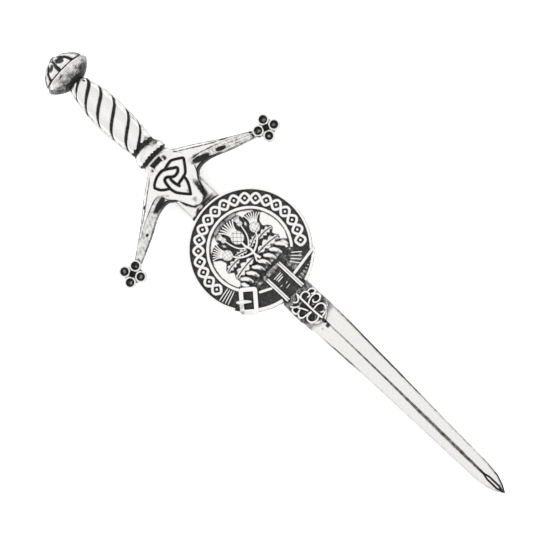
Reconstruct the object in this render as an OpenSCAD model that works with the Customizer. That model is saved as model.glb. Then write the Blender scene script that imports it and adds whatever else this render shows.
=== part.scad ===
// Kilt pin: a cast pewter two-handed sword with a strap-and-buckle badge over its blade, millimetres.
// X runs across the guard, Y along the sword with the pommel at +Y, and Z up out of its face.
// The origin is under the middle of the pin, on the surface that its back fitting rests on.

/* [Pommel] */
// Widest diameter of the pommel
pommel_d = 8.9; // [8:0.1:10]
// Height of the dome above the pommel's widest line
dome_h = 3.9; // [3.4:0.1:4.4]
// Depth at which the bowl under the widest line would close
bowl_h = 2.3; // [2:0.1:2.8]
// Diameter of the button on the dome
button_d = 1.1; // [0.8:0.1:1.6]
// Petals around the dome
petals = 10; // [6:2:12]
// Diameter of the round dimple in each petal
dimple_d = 0.9; // [0.5:0.05:1.1]

/* [Grip] */
// Length of the grip between pommel and collar
grip_len = 16.3; // [13:0.1:20]
// Diameter of the grip at its belly
grip_d = 5.9; // [5.2:0.1:6.6]
// Diameter of the grip under the pommel
neck_d = 3.4; // [2.8:0.1:4]
// Diameter of the grip at the collar
grip_low_d = 4.4; // [3.8:0.1:5]
// Spacing of the spiral grooves along the grip
groove_pitch = 2.97; // [2.2:0.01:4]
// Width of the spiral grooves
groove_w = 0.45; // [0.25:0.05:0.7]
// Slope of the spiral grooves across the grip, in degrees
groove_slope = 39; // [25:1:50]
// Depth of the grooves in grip and pommel
groove_depth = 0.3; // [0.15:0.05:0.4]
// Height of the hilt's centre line above the flat back
hilt_axis_h = 1.5; // [1:0.1:2]
// Length of the collar between grip and guard
collar_len = 2.4; // [1.8:0.1:3.5]
// Diameter of the collar
collar_d = 5.9; // [5.4:0.1:6.6]

/* [Guard] */
// Distance between the middles of the two quatrefoils
guard_span = 34; // [28:0.2:40]
// How far the quatrefoils lie below the collar, along the sword
guard_drop = 10.8; // [9:0.1:13]
// Height of the guard's front above the back
guard_h = 2.3; // [2:0.1:3]
// Height of the guard's edges above the back
guard_edge_h = 1.2; // [0.8:0.1:1.6]
// Width of the block under the collar
block_w = 5.7; // [5.2:0.1:6.4]
// How far the knot plate stands proud of the guard
plate_proud = 0.2; // [0.1:0.05:0.4]
// Clear distance from the knot plate's lower point to the badge's rim
langet_gap = 1.1; // [0.4:0.1:2]
// Radius of the knot's arcs
knot_arc_r = 3.18; // [2.8:0.02:3.4]
// Distance from the knot's middle to the centre of each arc
knot_arc_c = 2.14; // [1.9:0.02:2.4]
// Width of the knot's bands
knot_w = 0.7; // [0.5:0.05:0.9]
// Height of the knot's bands
knot_proud = 0.25; // [0.1:0.05:0.4]
// Distance from a quatrefoil's middle to the middle of each lobe
foil_r = 1.6; // [1.4:0.05:1.9]
// Diameter of each lobe
lobe_d = 1.75; // [1.6:0.05:2]
// Diameter of the blind cup in each lobe
cup_d = 1.15; // [0.8:0.05:1.3]
// Depth of the cups
cup_depth = 0.7; // [0.3:0.05:1]
// Height of the lobes above the back
foil_h = 2.1; // [1.8:0.1:2.6]

/* [Blade] */
// Length of the blade from the collar to the point
blade_len = 83; // [70:0.5:95]
// Width of the blade at its root
blade_w = 6.4; // [5.8:0.1:7]
// Thickness of the blade along its middle
blade_h = 1.7; // [1.5:0.1:2.2]
// Height of the blade's edges above the back
blade_edge_h = 0.7; // [0.4:0.05:1]
// Width of the bevel along each edge
bevel_w = 0.4; // [0.2:0.05:0.6]
// Width of the groove down the middle
fuller_w = 0.36; // [0.2:0.02:0.5]
// Depth of the groove down the middle
fuller_depth = 0.2; // [0.1:0.02:0.4]

/* [Badge] */
// Distance from the collar to the middle of the badge, along the sword
badge_drop = 23.05; // [22.8:0.05:26]
// Diameter of the badge
badge_d = 21.4; // [20:0.1:23]
// Thickness of the badge's plate
badge_t = 1.2; // [0.9:0.05:1.6]
// Height of its raised rims
rim_proud = 0.45; // [0.2:0.05:0.6]
// Width of the outer rim
rim_w = 0.55; // [0.4:0.05:0.8]
// Outer diameter of the inner ring
field_rim_d = 15; // [14.4:0.1:15.6]
// Width of the inner ring
field_rim_w = 0.6; // [0.4:0.05:0.8]
// Height of the ornament on the strap
ornament_proud = 0.3; // [0.15:0.05:0.45]
// Width of the strands of the ornament
strand_w = 0.36; // [0.25:0.02:0.5]
// Repeats of the ornament along the strap
repeats = 19; // [15:1:22]
// Length of the twisted wreath
wreath_len = 10.7; // [9.6:0.1:11.4]
// Height of the wreath across its twists
wreath_w = 2.1; // [1.8:0.1:2.6]
// Twists in the wreath
twists = 7; // [5:1:9]
// Length of the buckle's frame
buckle_len = 3.7; // [3.2:0.1:4.2]
// Width of the buckle's frame
buckle_w = 2.6; // [2.2:0.1:3]
// Width of the buckle's bars
buckle_bar = 0.74; // [0.5:0.02:0.9]
// Width of the hanging strap
strap_w = 4.1; // [3.6:0.1:4.6]
// Width of the raised borders on strap and loop
border_w = 0.7; // [0.4:0.05:0.9]
// How far the scrolled strap end reaches below the badge's rim
strap_end = 6.95; // [6:0.05:8]
// Width of the scrolled strap end
strap_end_w = 5.9; // [5:0.1:6.2]
// Diameter of the scrolls on the strap end
scroll_d = 1.5; // [1.2:0.05:1.7]
// Height of the sprig above the badge's plate
relief_proud = 0.6; // [0.3:0.05:0.8]
// Height of the buckle above the rims
buckle_proud = 0.25; // [0.1:0.05:0.4]
// Width of the fine ribs across the strap
rib_w = 0.24; // [0.16:0.02:0.32]

/* [Back fitting] */
// Clear height from the surface to the sword's back
back_z = 4.1; // [3.6:0.1:5]
// Gap where one piece seats on another
seat_gap = 0.08; // [0.05:0.01:0.15]
// Distance from the collar to the hinge, along the sword
hinge_drop = 5; // [4:0.1:6]
// Distance between hinge and catch
pin_span = 46; // [38:0.5:50]
// Diameter of the stem
stem_d = 1.1; // [0.9:0.05:1.3]
// Width of the hinge and of the catch
foot_w = 4.4; // [3.8:0.1:4.8]
// Length of the hinge along the sword
hinge_len = 4.2; // [3.6:0.1:5]
// Length of the catch along the sword
catch_len = 3; // [2.4:0.1:4]
// Thickness of the fitting's sheet metal
sheet_t = 0.6; // [0.45:0.05:0.8]
// Length of the stem's sharp end past the catch
stem_point = 3; // [2:0.1:4]

/* [Hidden] */
$fn = 64;
hull_fn = 32;
// Overlap of features that are cast in one
bite = 0.1;
// How far features reach below the sword's back before it is cut flat
under = 0.6;

// The radius of a ball that caps a circle of radius r with a height h
function cap_r(r, h) = (r * r + h * h) / (2 * h);

// Stations are distances along the sword from the top of the button
button_proud = 0.36 * button_d;
s_wide = button_proud + dome_h;
dome_r = cap_r(pommel_d / 2, dome_h);
bowl_r = cap_r(pommel_d / 2, bowl_h);
s_neck = s_wide + bowl_h - bowl_r + sqrt(pow(bowl_r, 2) - pow(neck_d / 2, 2));
s_seam = s_wide - 0.22 * dome_h;
s_collar = s_neck + grip_len;
s_guard = s_collar + collar_len;
s_badge = s_guard + badge_drop;
s_hinge = s_guard + hinge_drop;
s_catch = s_hinge + pin_span;
total = s_guard + blade_len;
top_y = total / 2;
langet_len = badge_drop - badge_d / 2 - langet_gap;
// More than the height of any piece, for cutters
tall = 2 * pommel_d;
// The badge's radius, the radius of its inner field, and the height of its plain rims
rim_r = badge_d / 2;
field_r = field_rim_d / 2 - field_rim_w;
rim_top = badge_t + rim_proud;

// The sword's plan: x to the right, y the station, z the height above the flat back
module plan() {
    translate([0, top_y, back_z]) mirror([0, 1, 0]) children();
}

// The hilt's own axis: z the station, y towards the front
module hilt_axis() {
    translate([0, top_y, back_z + hilt_axis_h]) rotate([90, 0, 0]) children();
}

// The badge's plan: x to the right, y down the sword from the badge's middle, z above its back
module badge_plan() {
    plan() translate([0, s_badge, blade_h + seat_gap]) children();
}

// A flat bar with round ends from p to q
module bar(p, q, w, z0, z1) {
    d = q - p;
    translate([p[0], p[1], z0]) rotate([0, 0, atan2(d[1], d[0])]) {
        translate([0, -w / 2, 0]) cube([norm(d), w, z1 - z0]);
        cylinder(d = w, h = z1 - z0);
        translate([norm(d), 0, 0]) cylinder(d = w, h = z1 - z0);
    }
}

function polar(r, a) = [r * cos(a), r * sin(a)];

// The lens of the pommel, as far inside its surface as inset says
module lens(inset) {
    intersection() {
        translate([0, 0, s_wide - dome_h + dome_r]) sphere(r = dome_r - inset, $fn = 96);
        translate([0, 0, s_wide + bowl_h - bowl_r]) sphere(r = bowl_r - inset, $fn = 96);
    }
}

module pommel() {
    seam_w = 0.5 * groove_w;
    dimple_a = 33;
    hilt_axis() {
        lens(groove_depth);
        difference() {
            lens(0);
            for (i = [0 : petals / 2 - 1])
                rotate([0, 0, (i + 0.5) * 360 / petals])
                    translate([-pommel_d, -groove_w / 2, 0]) cube([2 * pommel_d, groove_w, s_seam]);
            translate([0, 0, s_seam - bite]) cylinder(d = 2 * pommel_d, h = seam_w + bite);
            for (i = [0 : petals - 1])
                rotate([0, 0, i * 360 / petals])
                    translate([0, 0, s_wide - dome_h + dome_r])
                        rotate([dimple_a, 0, 0]) translate([0, 0, -dome_r]) sphere(d = dimple_d);
        }
        translate([0, 0, button_d / 2]) sphere(d = button_d);
    }
}

// Half of a barrel: r_mid at station a, curving in to r_end at station b
module barrel_half(a, b, r_mid, r_end) {
    arc = cap_r(abs(b - a), r_mid - r_end);
    rotate_extrude() intersection() {
        translate([r_mid - arc, a]) circle(r = arc, $fn = 360);
        translate([0, min(a, b)]) square([r_mid, abs(b - a)]);
    }
}

module barrel(inset) {
    belly = s_neck + 0.48 * grip_len;
    barrel_half(belly, s_neck - bite - inset, grip_d / 2 - inset, neck_d / 2 - inset);
    barrel_half(belly, s_collar + bite + inset, grip_d / 2 - inset, grip_low_d / 2 - inset);
}

module grip() {
    first = 0.15 * groove_pitch;
    hilt_axis() {
        barrel(groove_depth);
        difference() {
            barrel(0);
            for (s = [s_neck + first : groove_pitch : s_collar - groove_w])
                translate([0, 0, s]) rotate([0, groove_slope, 0])
                    cube([2 * grip_d, 2 * grip_d, groove_w], center = true);
        }
    }
}

module collar() {
    flare = 0.4 * collar_len;
    line = 0.12 * collar_len;
    r = collar_d / 2;
    lip = grip_low_d / 2 + 0.5 * bite;
    hilt_axis() rotate_extrude() polygon([
        [0, s_collar], [lip, s_collar], [r - 0.1 * flare, s_collar + flare], [r, s_collar + 1.4 * flare],
        [r, s_guard - 2 * line], [r - groove_depth, s_guard - 1.6 * line],
        [r - groove_depth, s_guard + bite], [0, s_guard + bite]
    ]);
}

// Share of the half span; upper and lower edge as shares of the drop; share of the full height
ARM = [
    [0.00, 0.02, 0.80, 1.00],
    [0.15, 0.09, 0.75, 1.00],
    [0.24, 0.19, 0.64, 0.97],
    [0.39, 0.34, 0.66, 0.92],
    [0.61, 0.58, 0.82, 0.85],
    [0.87, 0.85, 0.98, 0.76],
    [0.93, 0.91, 1.01, 0.74]
];
// Places of the two ridges across an arm, as shares of its width
upper_ridge = 0.26;
lower_ridge = 0.66;

// A solid through a list of sections that all have the same number of points
module loft(sections) {
    n = len(sections[0]);
    m = len(sections);
    polyhedron(
        points = [for (s = sections) for (p = s) p],
        faces = concat(
            [[for (i = [0 : n - 1]) i]],
            [[for (i = [n - 1 : -1 : 0]) (m - 1) * n + i]],
            [for (k = [0 : m - 2]) for (i = [0 : n - 1]) [k * n + i, (k + 1) * n + i, k * n + (i + 1) % n]],
            [for (k = [0 : m - 2]) for (i = [0 : n - 1])
                [k * n + (i + 1) % n, (k + 1) * n + i, (k + 1) * n + (i + 1) % n]]
        )
    );
}

function arm_section(x, row) =
    let (
        a = s_guard + row[1] * guard_drop,
        b = s_guard + row[2] * guard_drop,
        h = guard_h * row[3],
        e = guard_edge_h * row[3]
    )
    [[x, a, -under], [x, a, e], [x, a + upper_ridge * (b - a), h],
     [x, a + lower_ridge * (b - a), h], [x, b, e], [x, b, -under]];

module arms() {
    half = guard_span / 2;
    last = len(ARM) - 1;
    plan() loft(concat(
        [for (k = [last : -1 : 1]) arm_section(ARM[k][0] * half, ARM[k])],
        [for (k = [0 : last]) arm_section(-ARM[k][0] * half, ARM[k])]
    ));
}

// Half outline of the knot plate and langet: shares of half the block's width, and of the langet's length
PLATE = [[0.96, 0.1], [1.2, 0.19], [1.42, 0.33], [1.3, 0.53], [0.92, 0.71], [0.32, 0.96], [0.12, 1]];

module plate() {
    half = block_w / 2;
    right = [for (p = PLATE) [p[0] * half, s_guard + p[1] * langet_len]];
    left = [for (k = [len(PLATE) - 1 : -1 : 0]) [-right[k][0], right[k][1]]];
    plan() translate([0, 0, -0.7 * under])
        linear_extrude(guard_h + plate_proud + 0.7 * under) polygon(concat(right, left));
}

module block() {
    reach = 0.2 * guard_drop;
    recess_w = 0.38 * block_w;
    recess_l = 0.09 * guard_drop;
    front = hilt_axis_h + block_w / 2;
    difference() {
        hull() {
            hilt_axis() translate([0, 0, s_guard])
                cylinder(d = block_w, h = 0.3 * reach, $fn = hull_fn);
            plan() translate([-0.6 * block_w, s_guard + reach, -0.5 * under])
                cube([1.2 * block_w, bite, guard_h + 0.5 * plate_proud + 0.5 * under]);
        }
        plan() translate([-recess_w / 2, s_guard + 0.09 * guard_drop, front - 2 * groove_depth])
            cube([recess_w, recess_l, tall]);
    }
}

function knot_a(i) = 120 * i - 90;

module knot_ring(i, w) {
    translate(polar(knot_arc_c, knot_a(i))) difference() {
        circle(r = knot_arc_r + w / 2);
        circle(r = knot_arc_r - w / 2);
    }
}

// One of the three bands: it passes under the next one where they cross
module knot_band(i) {
    cross = sqrt(pow(knot_arc_r, 2) - 0.75 * pow(knot_arc_c, 2)) - knot_arc_c / 2;
    difference() {
        intersection() {
            knot_ring(i, knot_w);
            union() {
                translate(polar(knot_arc_c, knot_a(i + 1))) circle(r = knot_arc_r + knot_w / 2);
                translate(polar(knot_arc_c, knot_a(i + 2))) circle(r = knot_arc_r + knot_w / 2);
            }
        }
        intersection() {
            knot_ring(i + 1, 1.5 * knot_w);
            translate(polar(cross, knot_a(i + 2))) circle(r = 1.6 * knot_w);
        }
    }
}

module knot() {
    plan() translate([0, s_guard + 0.42 * langet_len, guard_h + plate_proud - bite])
        for (i = [0 : 2]) linear_extrude(knot_proud + bite) knot_band(i);
}

module quatrefoil(side) {
    slope = 26;
    star = 0.34 * foil_r;
    plan() translate([side * guard_span / 2, s_guard + guard_drop, 0]) rotate([0, 0, side * slope])
        difference() {
            union() {
                translate([0, 0, -0.3 * under]) cylinder(r = foil_r + 0.2 * lobe_d, h = 0.6 * foil_h);
                translate([0, 0, -0.2 * under]) cylinder(r = 0.6 * foil_r, h = 0.8 * foil_h);
                for (a = [0 : 90 : 270]) rotate([0, 0, a]) translate([foil_r, 0, -0.4 * under])
                    cylinder(d = lobe_d, h = foil_h + 0.4 * under);
            }
            for (a = [0 : 90 : 270]) rotate([0, 0, a]) translate([foil_r, 0, foil_h - cup_depth])
                cylinder(d = cup_d, h = tall);
            translate([0, 0, foil_h - cup_depth]) cylinder(r = star, h = tall, $fn = 4);
        }
}

// Share of the blade's length; share of its width at the root; share of its thickness
BLADE = [
    [0.030, 1.00, 1.00],
    [0.150, 1.00, 1.00],
    [0.500, 0.90, 1.00],
    [0.610, 0.79, 0.96],
    [0.800, 0.66, 0.90],
    [0.930, 0.58, 0.82],
    [0.964, 0.48, 0.76],
    [0.985, 0.28, 0.66],
    [1.000, 0.05, 0.50]
];

function blade_section(row) =
    let (
        y = s_guard + row[0] * blade_len,
        w = blade_w / 2 * row[1],
        b = min(bevel_w, 0.4 * w),
        f = min(fuller_w / 2, 0.2 * w),
        h = blade_h * row[2],
        e = blade_edge_h * row[2],
        s = e + 0.45 * (h - e)
    )
    [[-w, y, -0.9 * under], [-w, y, e], [b - w, y, s], [-f, y, h], [0, y, h - fuller_depth * row[2]],
     [f, y, h], [w - b, y, s], [w, y, e], [w, y, -0.9 * under]];

module blade() {
    plan() loft([for (row = BLADE) blade_section(row)]);
}

module sword() {
    color("silver") difference() {
        union() {
            pommel();
            grip();
            collar();
            block();
            arms();
            plate();
            knot();
            quatrefoil(-1);
            quatrefoil(1);
            blade();
        }
        // The casting's flat back
        translate([-guard_span, -total, back_z - 2 * pommel_d])
            cube([2 * guard_span, 2 * total, 2 * pommel_d]);
    }
}

// Where the rims stop at the fold on the right and at the buckle on the left, in degrees clockwise
rims_from = 44;
rims_to = 152;

// The roundel in one turned piece: plate, outer rim and inner ring, the rims open over the strap
module roundel() {
    r = rim_r;
    q = field_rim_d / 2;
    c = 0.25 * rim_w;
    difference() {
        rotate_extrude() polygon([
            [0, 0], [r - c, 0], [r, c], [r, rim_top - c], [r - c, rim_top],
            [r - rim_w + c, rim_top], [r - rim_w, rim_top - c], [r - rim_w, badge_t],
            [q, badge_t], [q, rim_top - c], [q - c, rim_top],
            [field_r + c, rim_top], [field_r, rim_top - c], [field_r, badge_t], [0, badge_t]
        ]);
        translate([0, 0, badge_t]) linear_extrude(tall) polygon([
            [0, 0], polar(2 * r, rims_from), polar(3 * r, (rims_from + rims_to) / 2), polar(2 * r, rims_to)
        ]);
    }
}

// The ornament's first and last middle, in degrees from the right, clockwise
band_from = 176;
band_to = 396;

// A chain of open lozenges with a pellet in each
module ornament() {
    inner = field_rim_d / 2;
    outer = rim_r - rim_w;
    mid = (inner + outer) / 2;
    step = (band_to - band_from) / (repeats - 1);
    long = mid * step * PI / 360;
    high = 0.4 * (outer - inner);
    cut = 1.3 * strand_w;
    for (i = [0 : repeats - 1])
        rotate([0, 0, band_from + i * step + 90]) translate([0, -mid, badge_t - bite]) {
            linear_extrude(ornament_proud + bite) difference() {
                polygon([[-long, 0], [0, high], [long, 0], [0, -high]]);
                polygon([[cut - long, 0], [0, high - cut], [long - cut, 0], [0, cut - high]]);
            }
            cylinder(d = 0.8 * strand_w, h = ornament_proud + bite, $fn = 24);
        }
}

// A row of twists leaning down to the right, on a low bar
module wreath() {
    mid_y = 0.48 * field_r;
    lean = 58;
    pitch = wreath_len / twists;
    r = 0.42 * pitch * sin(lean);
    reach = wreath_w / 2 / sin(lean);
    base = 0.4 * relief_proud;
    translate([-wreath_len / 2 + r, mid_y - wreath_w / 3, badge_t - bite])
        cube([wreath_len - 2 * r, wreath_w / 1.5, base + bite]);
    for (i = [0 : twists - 1])
        translate([(i - (twists - 1) / 2) * pitch, mid_y, badge_t + 0.25 * r])
            rotate([0, 0, lean]) rotate([0, 90, 0])
                for (e = [-1, 1]) barrel_half(0, e * reach, r, 0.3 * r);
    bar([-0.48 * wreath_len, mid_y - 0.62 * wreath_w], [0.48 * wreath_len, mid_y - 0.62 * wreath_w],
        0.12 * wreath_w, badge_t - bite, badge_t + base);
}

buckle_at = [-0.612 * rim_r, 0.528 * rim_r];
buckle_turn = -50;

module buckle() {
    l = buckle_len / 2;
    w = buckle_w / 2;
    top = rim_top + buckle_proud;
    corners = [[l, w], [-l, w], [-l, -w], [l, -w]];
    translate(buckle_at) rotate([0, 0, buckle_turn]) {
        for (i = [0 : 3]) bar(corners[i], corners[(i + 1) % 4], buckle_bar, badge_t - bite, top);
        bar([-0.1 * l, -1.5 * w], [-0.1 * l, 0.2 * w], 0.8 * buckle_bar, badge_t - bite, top + bite);
    }
}

// Ridges across the strap, between two radii, from angle a on
module strap_ribs(a, step, n, r0, r1) {
    for (i = [0 : n - 1])
        bar(polar(r0, a + i * step), polar(r1, a + i * step), rib_w, badge_t - bite, badge_t + ornament_proud);
}

// The strap that hangs from the loop to its scrolled end, and the loop's two folds
module hanging_strap() {
    edge = strap_w / 2 - border_w / 2;
    from = 0.505 * rim_r;
    low = badge_t - bite;
    fold = 0.72 * rim_r;
    for (e = [-1, 1])
        bar([e * edge, from], [e * edge, rim_r + bite], border_w, low, rim_top + 0.5 * buckle_proud);
    for (i = [2 : 5])
        bar([-0.45 * edge, from + 2.1 * i * rib_w], [0.45 * edge, from + 2.1 * i * rib_w],
            rib_w, low, badge_t + ornament_proud);
    bar([-0.58 * rim_r, 0.75 * rim_r], [-edge, rim_r - border_w], 0.85 * border_w, low, rim_top);
    bar([-0.37 * rim_r, 0.57 * rim_r], [-edge, 0.66 * rim_r], 0.7 * border_w, low, rim_top);
    bar([edge, 0.75 * rim_r], [fold, 0.73 * rim_r], border_w, low, rim_top);
    bar([edge + border_w, rim_r - 0.8 * border_w], [fold, 0.67 * rim_r], 0.7 * border_w, low, rim_top);
}

// Half outline of the strap end: shares of half its width, and of its reach below the rim
END = [[0.78, -0.08], [0.98, 0.02], [1.0, 0.62], [0.8, 0.78], [0.34, 0.95], [0.06, 1.0]];
// Middles of the scrolls: shares of half the strap end's width, and of its reach
SCROLLS = [[0.26, 0.24], [0.7, 0.22], [0.56, 0.42], [-0.7, 0.24], [-0.54, 0.43], [-0.36, 0.68], [0.4, 0.67]];

module scroll_end() {
    half = strap_end_w / 2;
    right = [for (p = END) [p[0] * half, rim_r + p[1] * strap_end]];
    left = [for (k = [len(END) - 1 : -1 : 0]) [-right[k][0], right[k][1]]];
    hole_d = 0.56 * scroll_d;
    floor_z = 0.7 * badge_t;
    difference() {
        union() {
            linear_extrude(0.88 * badge_t) polygon(concat(right, left));
            for (p = SCROLLS)
                translate([p[0] * half, rim_r + p[1] * strap_end, floor_z])
                    cylinder(d = scroll_d, h = rim_top - floor_z, $fn = 48);
            bar([0, rim_r - bite], [0, rim_r + 0.93 * strap_end], 0.34 * scroll_d, floor_z, rim_top);
        }
        for (p = SCROLLS)
            translate([p[0] * half, rim_r + p[1] * strap_end, floor_z])
                cylinder(d = hole_d, h = tall, $fn = 48);
    }
}

// Outline of a toothed leaf: share of its length, share of its half width
LEAF = [[0, 0.1], [0.14, 0.5], [0.24, 0.3], [0.36, 0.85], [0.48, 0.45], [0.6, 0.9], [0.7, 0.4],
        [0.82, 0.55], [1, 0.05]];

module leaf(p, turn, long, half) {
    upper = [for (q = LEAF) [q[0] * long, q[1] * half]];
    lower = [for (k = [len(LEAF) - 1 : -1 : 0]) [upper[k][0], -upper[k][1]]];
    translate([p[0], p[1], badge_t - bite]) rotate([0, 0, turn])
        linear_extrude(0.6 * relief_proud + bite) polygon(concat(upper, lower));
}

// A thistle head: a ball with a fan of bristles above it
module thistle(p, turn, d) {
    fan = 1.15 * d;
    translate([p[0], p[1], badge_t]) rotate([0, 0, turn]) {
        translate([0, 0, relief_proud - 0.45 * d]) sphere(d = d, $fn = 48);
        translate([0, 0, -bite]) linear_extrude(0.8 * relief_proud + bite)
            polygon([[0.2 * d, 0.28 * d], [fan, 0.62 * d], [0.9 * fan, 0.3 * d], [1.05 * fan, 0],
                     [0.9 * fan, -0.3 * d], [fan, -0.62 * d], [0.2 * d, -0.28 * d]]);
    }
}

// A sprig of three thistles rising from the wreath, its places as shares of the field's radius
module sprig() {
    f = field_r;
    stem_w = 0.06 * f;
    low = badge_t - bite;
    bar([0, 0.27 * f], [0, -0.43 * f], stem_w, low, badge_t + 0.85 * relief_proud);
    thistle([0, -0.45 * f], -90, 0.275 * f);
    for (e = [0, 1]) mirror([e, 0, 0]) {
        bar([0, 0.13 * f], [0.36 * f, -0.19 * f], 0.8 * stem_w, low, badge_t + 0.75 * relief_proud);
        thistle([0.4 * f, -0.23 * f], -48, 0.2 * f);
        leaf([0.04 * f, 0.2 * f], 8, 0.62 * f, 0.125 * f);
        leaf([0.03 * f, -0.09 * f], -62, 0.38 * f, 0.1 * f);
    }
}

module crest_badge() {
    color("gainsboro") badge_plan() {
        roundel();
        ornament();
        wreath();
        sprig();
        buckle();
        strap_ribs(156.5, 3, 4, field_rim_d / 2 - bite, rim_r - rim_w + bite);
        strap_ribs(50.5, 4.5, 4, 0.66 * rim_r, 0.84 * rim_r);
        hanging_strap();
        scroll_end();
    }
}

// The stem's height over the surface: it bears on the catch's lip
stem_z = sheet_t + stem_d / 2 - bite;
seat_z = back_z - seat_gap;

// A sheet-metal foot on the sword's back, with a web on each side down to the surface
module foot(s, length, webs) {
    translate([-foot_w / 2, top_y - s - length / 2, seat_z - sheet_t]) cube([foot_w, length, sheet_t]);
    for (e = webs)
        translate([e * (foot_w - sheet_t) / 2 - sheet_t / 2, top_y - s - length / 2, 0])
            cube([sheet_t, length, seat_z]);
}

module brooch_pin() {
    coil_d = 2 * stem_z;
    color("darkgray") {
        foot(s_hinge, hinge_len, [-1, 1]);
        foot(s_catch, catch_len, [-1]);
        translate([-foot_w / 2, top_y - s_catch - catch_len / 2, 0]) cube([foot_w, catch_len, sheet_t]);
        translate([-foot_w / 2 + bite, top_y - s_hinge, stem_z]) rotate([0, 90, 0])
            cylinder(d = coil_d, h = foot_w - 2 * bite);
        translate([0, top_y - s_hinge, stem_z]) rotate([90, 0, 0]) {
            cylinder(d = stem_d, h = pin_span + catch_len / 2);
            translate([0, 0, pin_span + catch_len / 2]) cylinder(d1 = stem_d, d2 = 0.2 * stem_d, h = stem_point);
        }
    }
}

sword();
crest_badge();
brooch_pin();
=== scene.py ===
from math import asin, cos, pi, radians, sin, sqrt

import bmesh
import bpy
import numpy as np
from mathutils import Matrix, Vector


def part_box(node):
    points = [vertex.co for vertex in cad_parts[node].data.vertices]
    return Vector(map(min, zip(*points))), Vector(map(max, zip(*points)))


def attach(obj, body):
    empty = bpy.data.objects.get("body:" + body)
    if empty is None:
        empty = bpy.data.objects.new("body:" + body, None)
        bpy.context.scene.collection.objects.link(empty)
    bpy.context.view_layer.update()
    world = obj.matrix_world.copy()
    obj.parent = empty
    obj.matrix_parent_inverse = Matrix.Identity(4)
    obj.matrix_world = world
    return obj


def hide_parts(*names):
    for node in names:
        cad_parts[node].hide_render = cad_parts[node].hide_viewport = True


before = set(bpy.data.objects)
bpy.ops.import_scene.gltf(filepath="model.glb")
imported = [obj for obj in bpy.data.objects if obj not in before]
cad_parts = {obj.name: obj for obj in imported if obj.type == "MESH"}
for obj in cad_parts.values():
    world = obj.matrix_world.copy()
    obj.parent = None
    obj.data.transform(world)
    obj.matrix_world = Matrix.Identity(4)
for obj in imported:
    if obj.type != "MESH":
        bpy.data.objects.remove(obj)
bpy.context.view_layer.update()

# A kilt pin: a sword in cast pewter, a strap-and-buckle badge over its blade, and a steel fitting behind.
# Lengths are in millimetres until a piece is finished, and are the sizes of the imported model.
MM = 0.001
UP = Vector((0, 0, 1))
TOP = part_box("sword")[1][1] / MM
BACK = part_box("sword")[0][2] / MM
BADGE_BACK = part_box("crest_badge")[0][2] / MM
# Height of the hilt's axis over the flat back
AXIS_H = 1.5
# Stations along the sword, from the button's end
S_SEAM, S_WIDE, S_NECK, S_COLLAR, S_GUARD, S_BADGE = 3.438, 4.296, 6.324, 22.624, 25.024, 48.074


def plan(x, s, h):
    """A point of the sword: x to the right, s from the button's end, h above the flat back."""
    return Vector((x, TOP - s, BACK + h))


def badge(x, y, z):
    """A point of the badge: x to the right and y down from its middle, z above its back."""
    return Vector((x, TOP - S_BADGE - y, BADGE_BACK + z))


def smooth(a, b, x):
    """0 up to a, 1 from b on, and a soft step between; it falls from 1 to 0 where b is the smaller."""
    t = np.clip((np.asarray(x, float) - a) / (b - a), 0, 1)
    return t * t * (3 - 2 * t)


def curve_through(points, per=6, closed=False):
    """A smooth path through the points, with so many steps between each two of them."""
    p = [Vector(q) for q in points]
    n = len(p)
    out = []
    for i in range(n if closed else n - 1):
        a, b = p[i], p[(i + 1) % n]
        before = p[i - 1] if closed or i else a
        after = p[(i + 2) % n] if closed or i + 2 < n else b
        for k in range(per):
            t = k / per
            out.append(0.5 * (2 * a + (b - before) * t + (2 * before - 5 * a + 4 * b - after) * t * t
                              + (3 * a - before - 3 * b + after) * t ** 3))
    return out if closed else out + [p[-1]]


def flat_curve(points, per=5):
    """A smooth path through points of a plane, as pairs."""
    return [(q.x, q.y) for q in curve_through([(a, b, 0) for a, b in points], per)]


def through(x, xs, ys):
    """Smooth values through a table of a few rows."""
    fine = flat_curve(zip(xs, ys), 8)
    return np.interp(x, [a for a, b in fine], [b for a, b in fine])


def arc(cx, cy, r, a0, a1, n):
    """Points of an arc; the angles run clockwise from the right, in degrees."""
    turn = [radians(a0 + (a1 - a0) * i / n) for i in range(n + 1)]
    return [(cx + r * cos(t), cy + r * sin(t)) for t in turn]


def near_lines(x, y, lines):
    """Distance from each point to the nearest of some polylines."""
    best = np.full(np.shape(x), 1e9)
    for line in lines:
        for (ax, ay), (bx, by) in zip(line, line[1:]):
            dx, dy = bx - ax, by - ay
            t = np.clip(((x - ax) * dx + (y - ay) * dy) / max(dx * dx + dy * dy, 1e-9), 0, 1)
            best = np.minimum(best, np.hypot(x - ax - t * dx, y - ay - t * dy))
    return best


def inside(x, y, outline):
    """Which points lie inside a closed outline."""
    hit = np.zeros(x.shape, bool)
    for (ax, ay), (bx, by) in zip(outline, outline[1:]):
        over = (ay > y) != (by > y)
        cross = ax + (y - ay) * (bx - ax) / (by - ay if by != ay else 1e-9)
        hit ^= over & (x < cross)
    return hit


def steps_between(knots, rows, share):
    """Straight steps from row to row of a section, at each point's share of the way across it."""
    i = np.clip(np.searchsorted(knots, share, side="right") - 1, 0, len(knots) - 2)
    f = (share - knots[i]) / (knots[i + 1] - knots[i])
    column = np.arange(len(share))
    return rows[i, column] * (1 - f) + rows[i + 1, column] * f


# ---- making shapes ----

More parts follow.
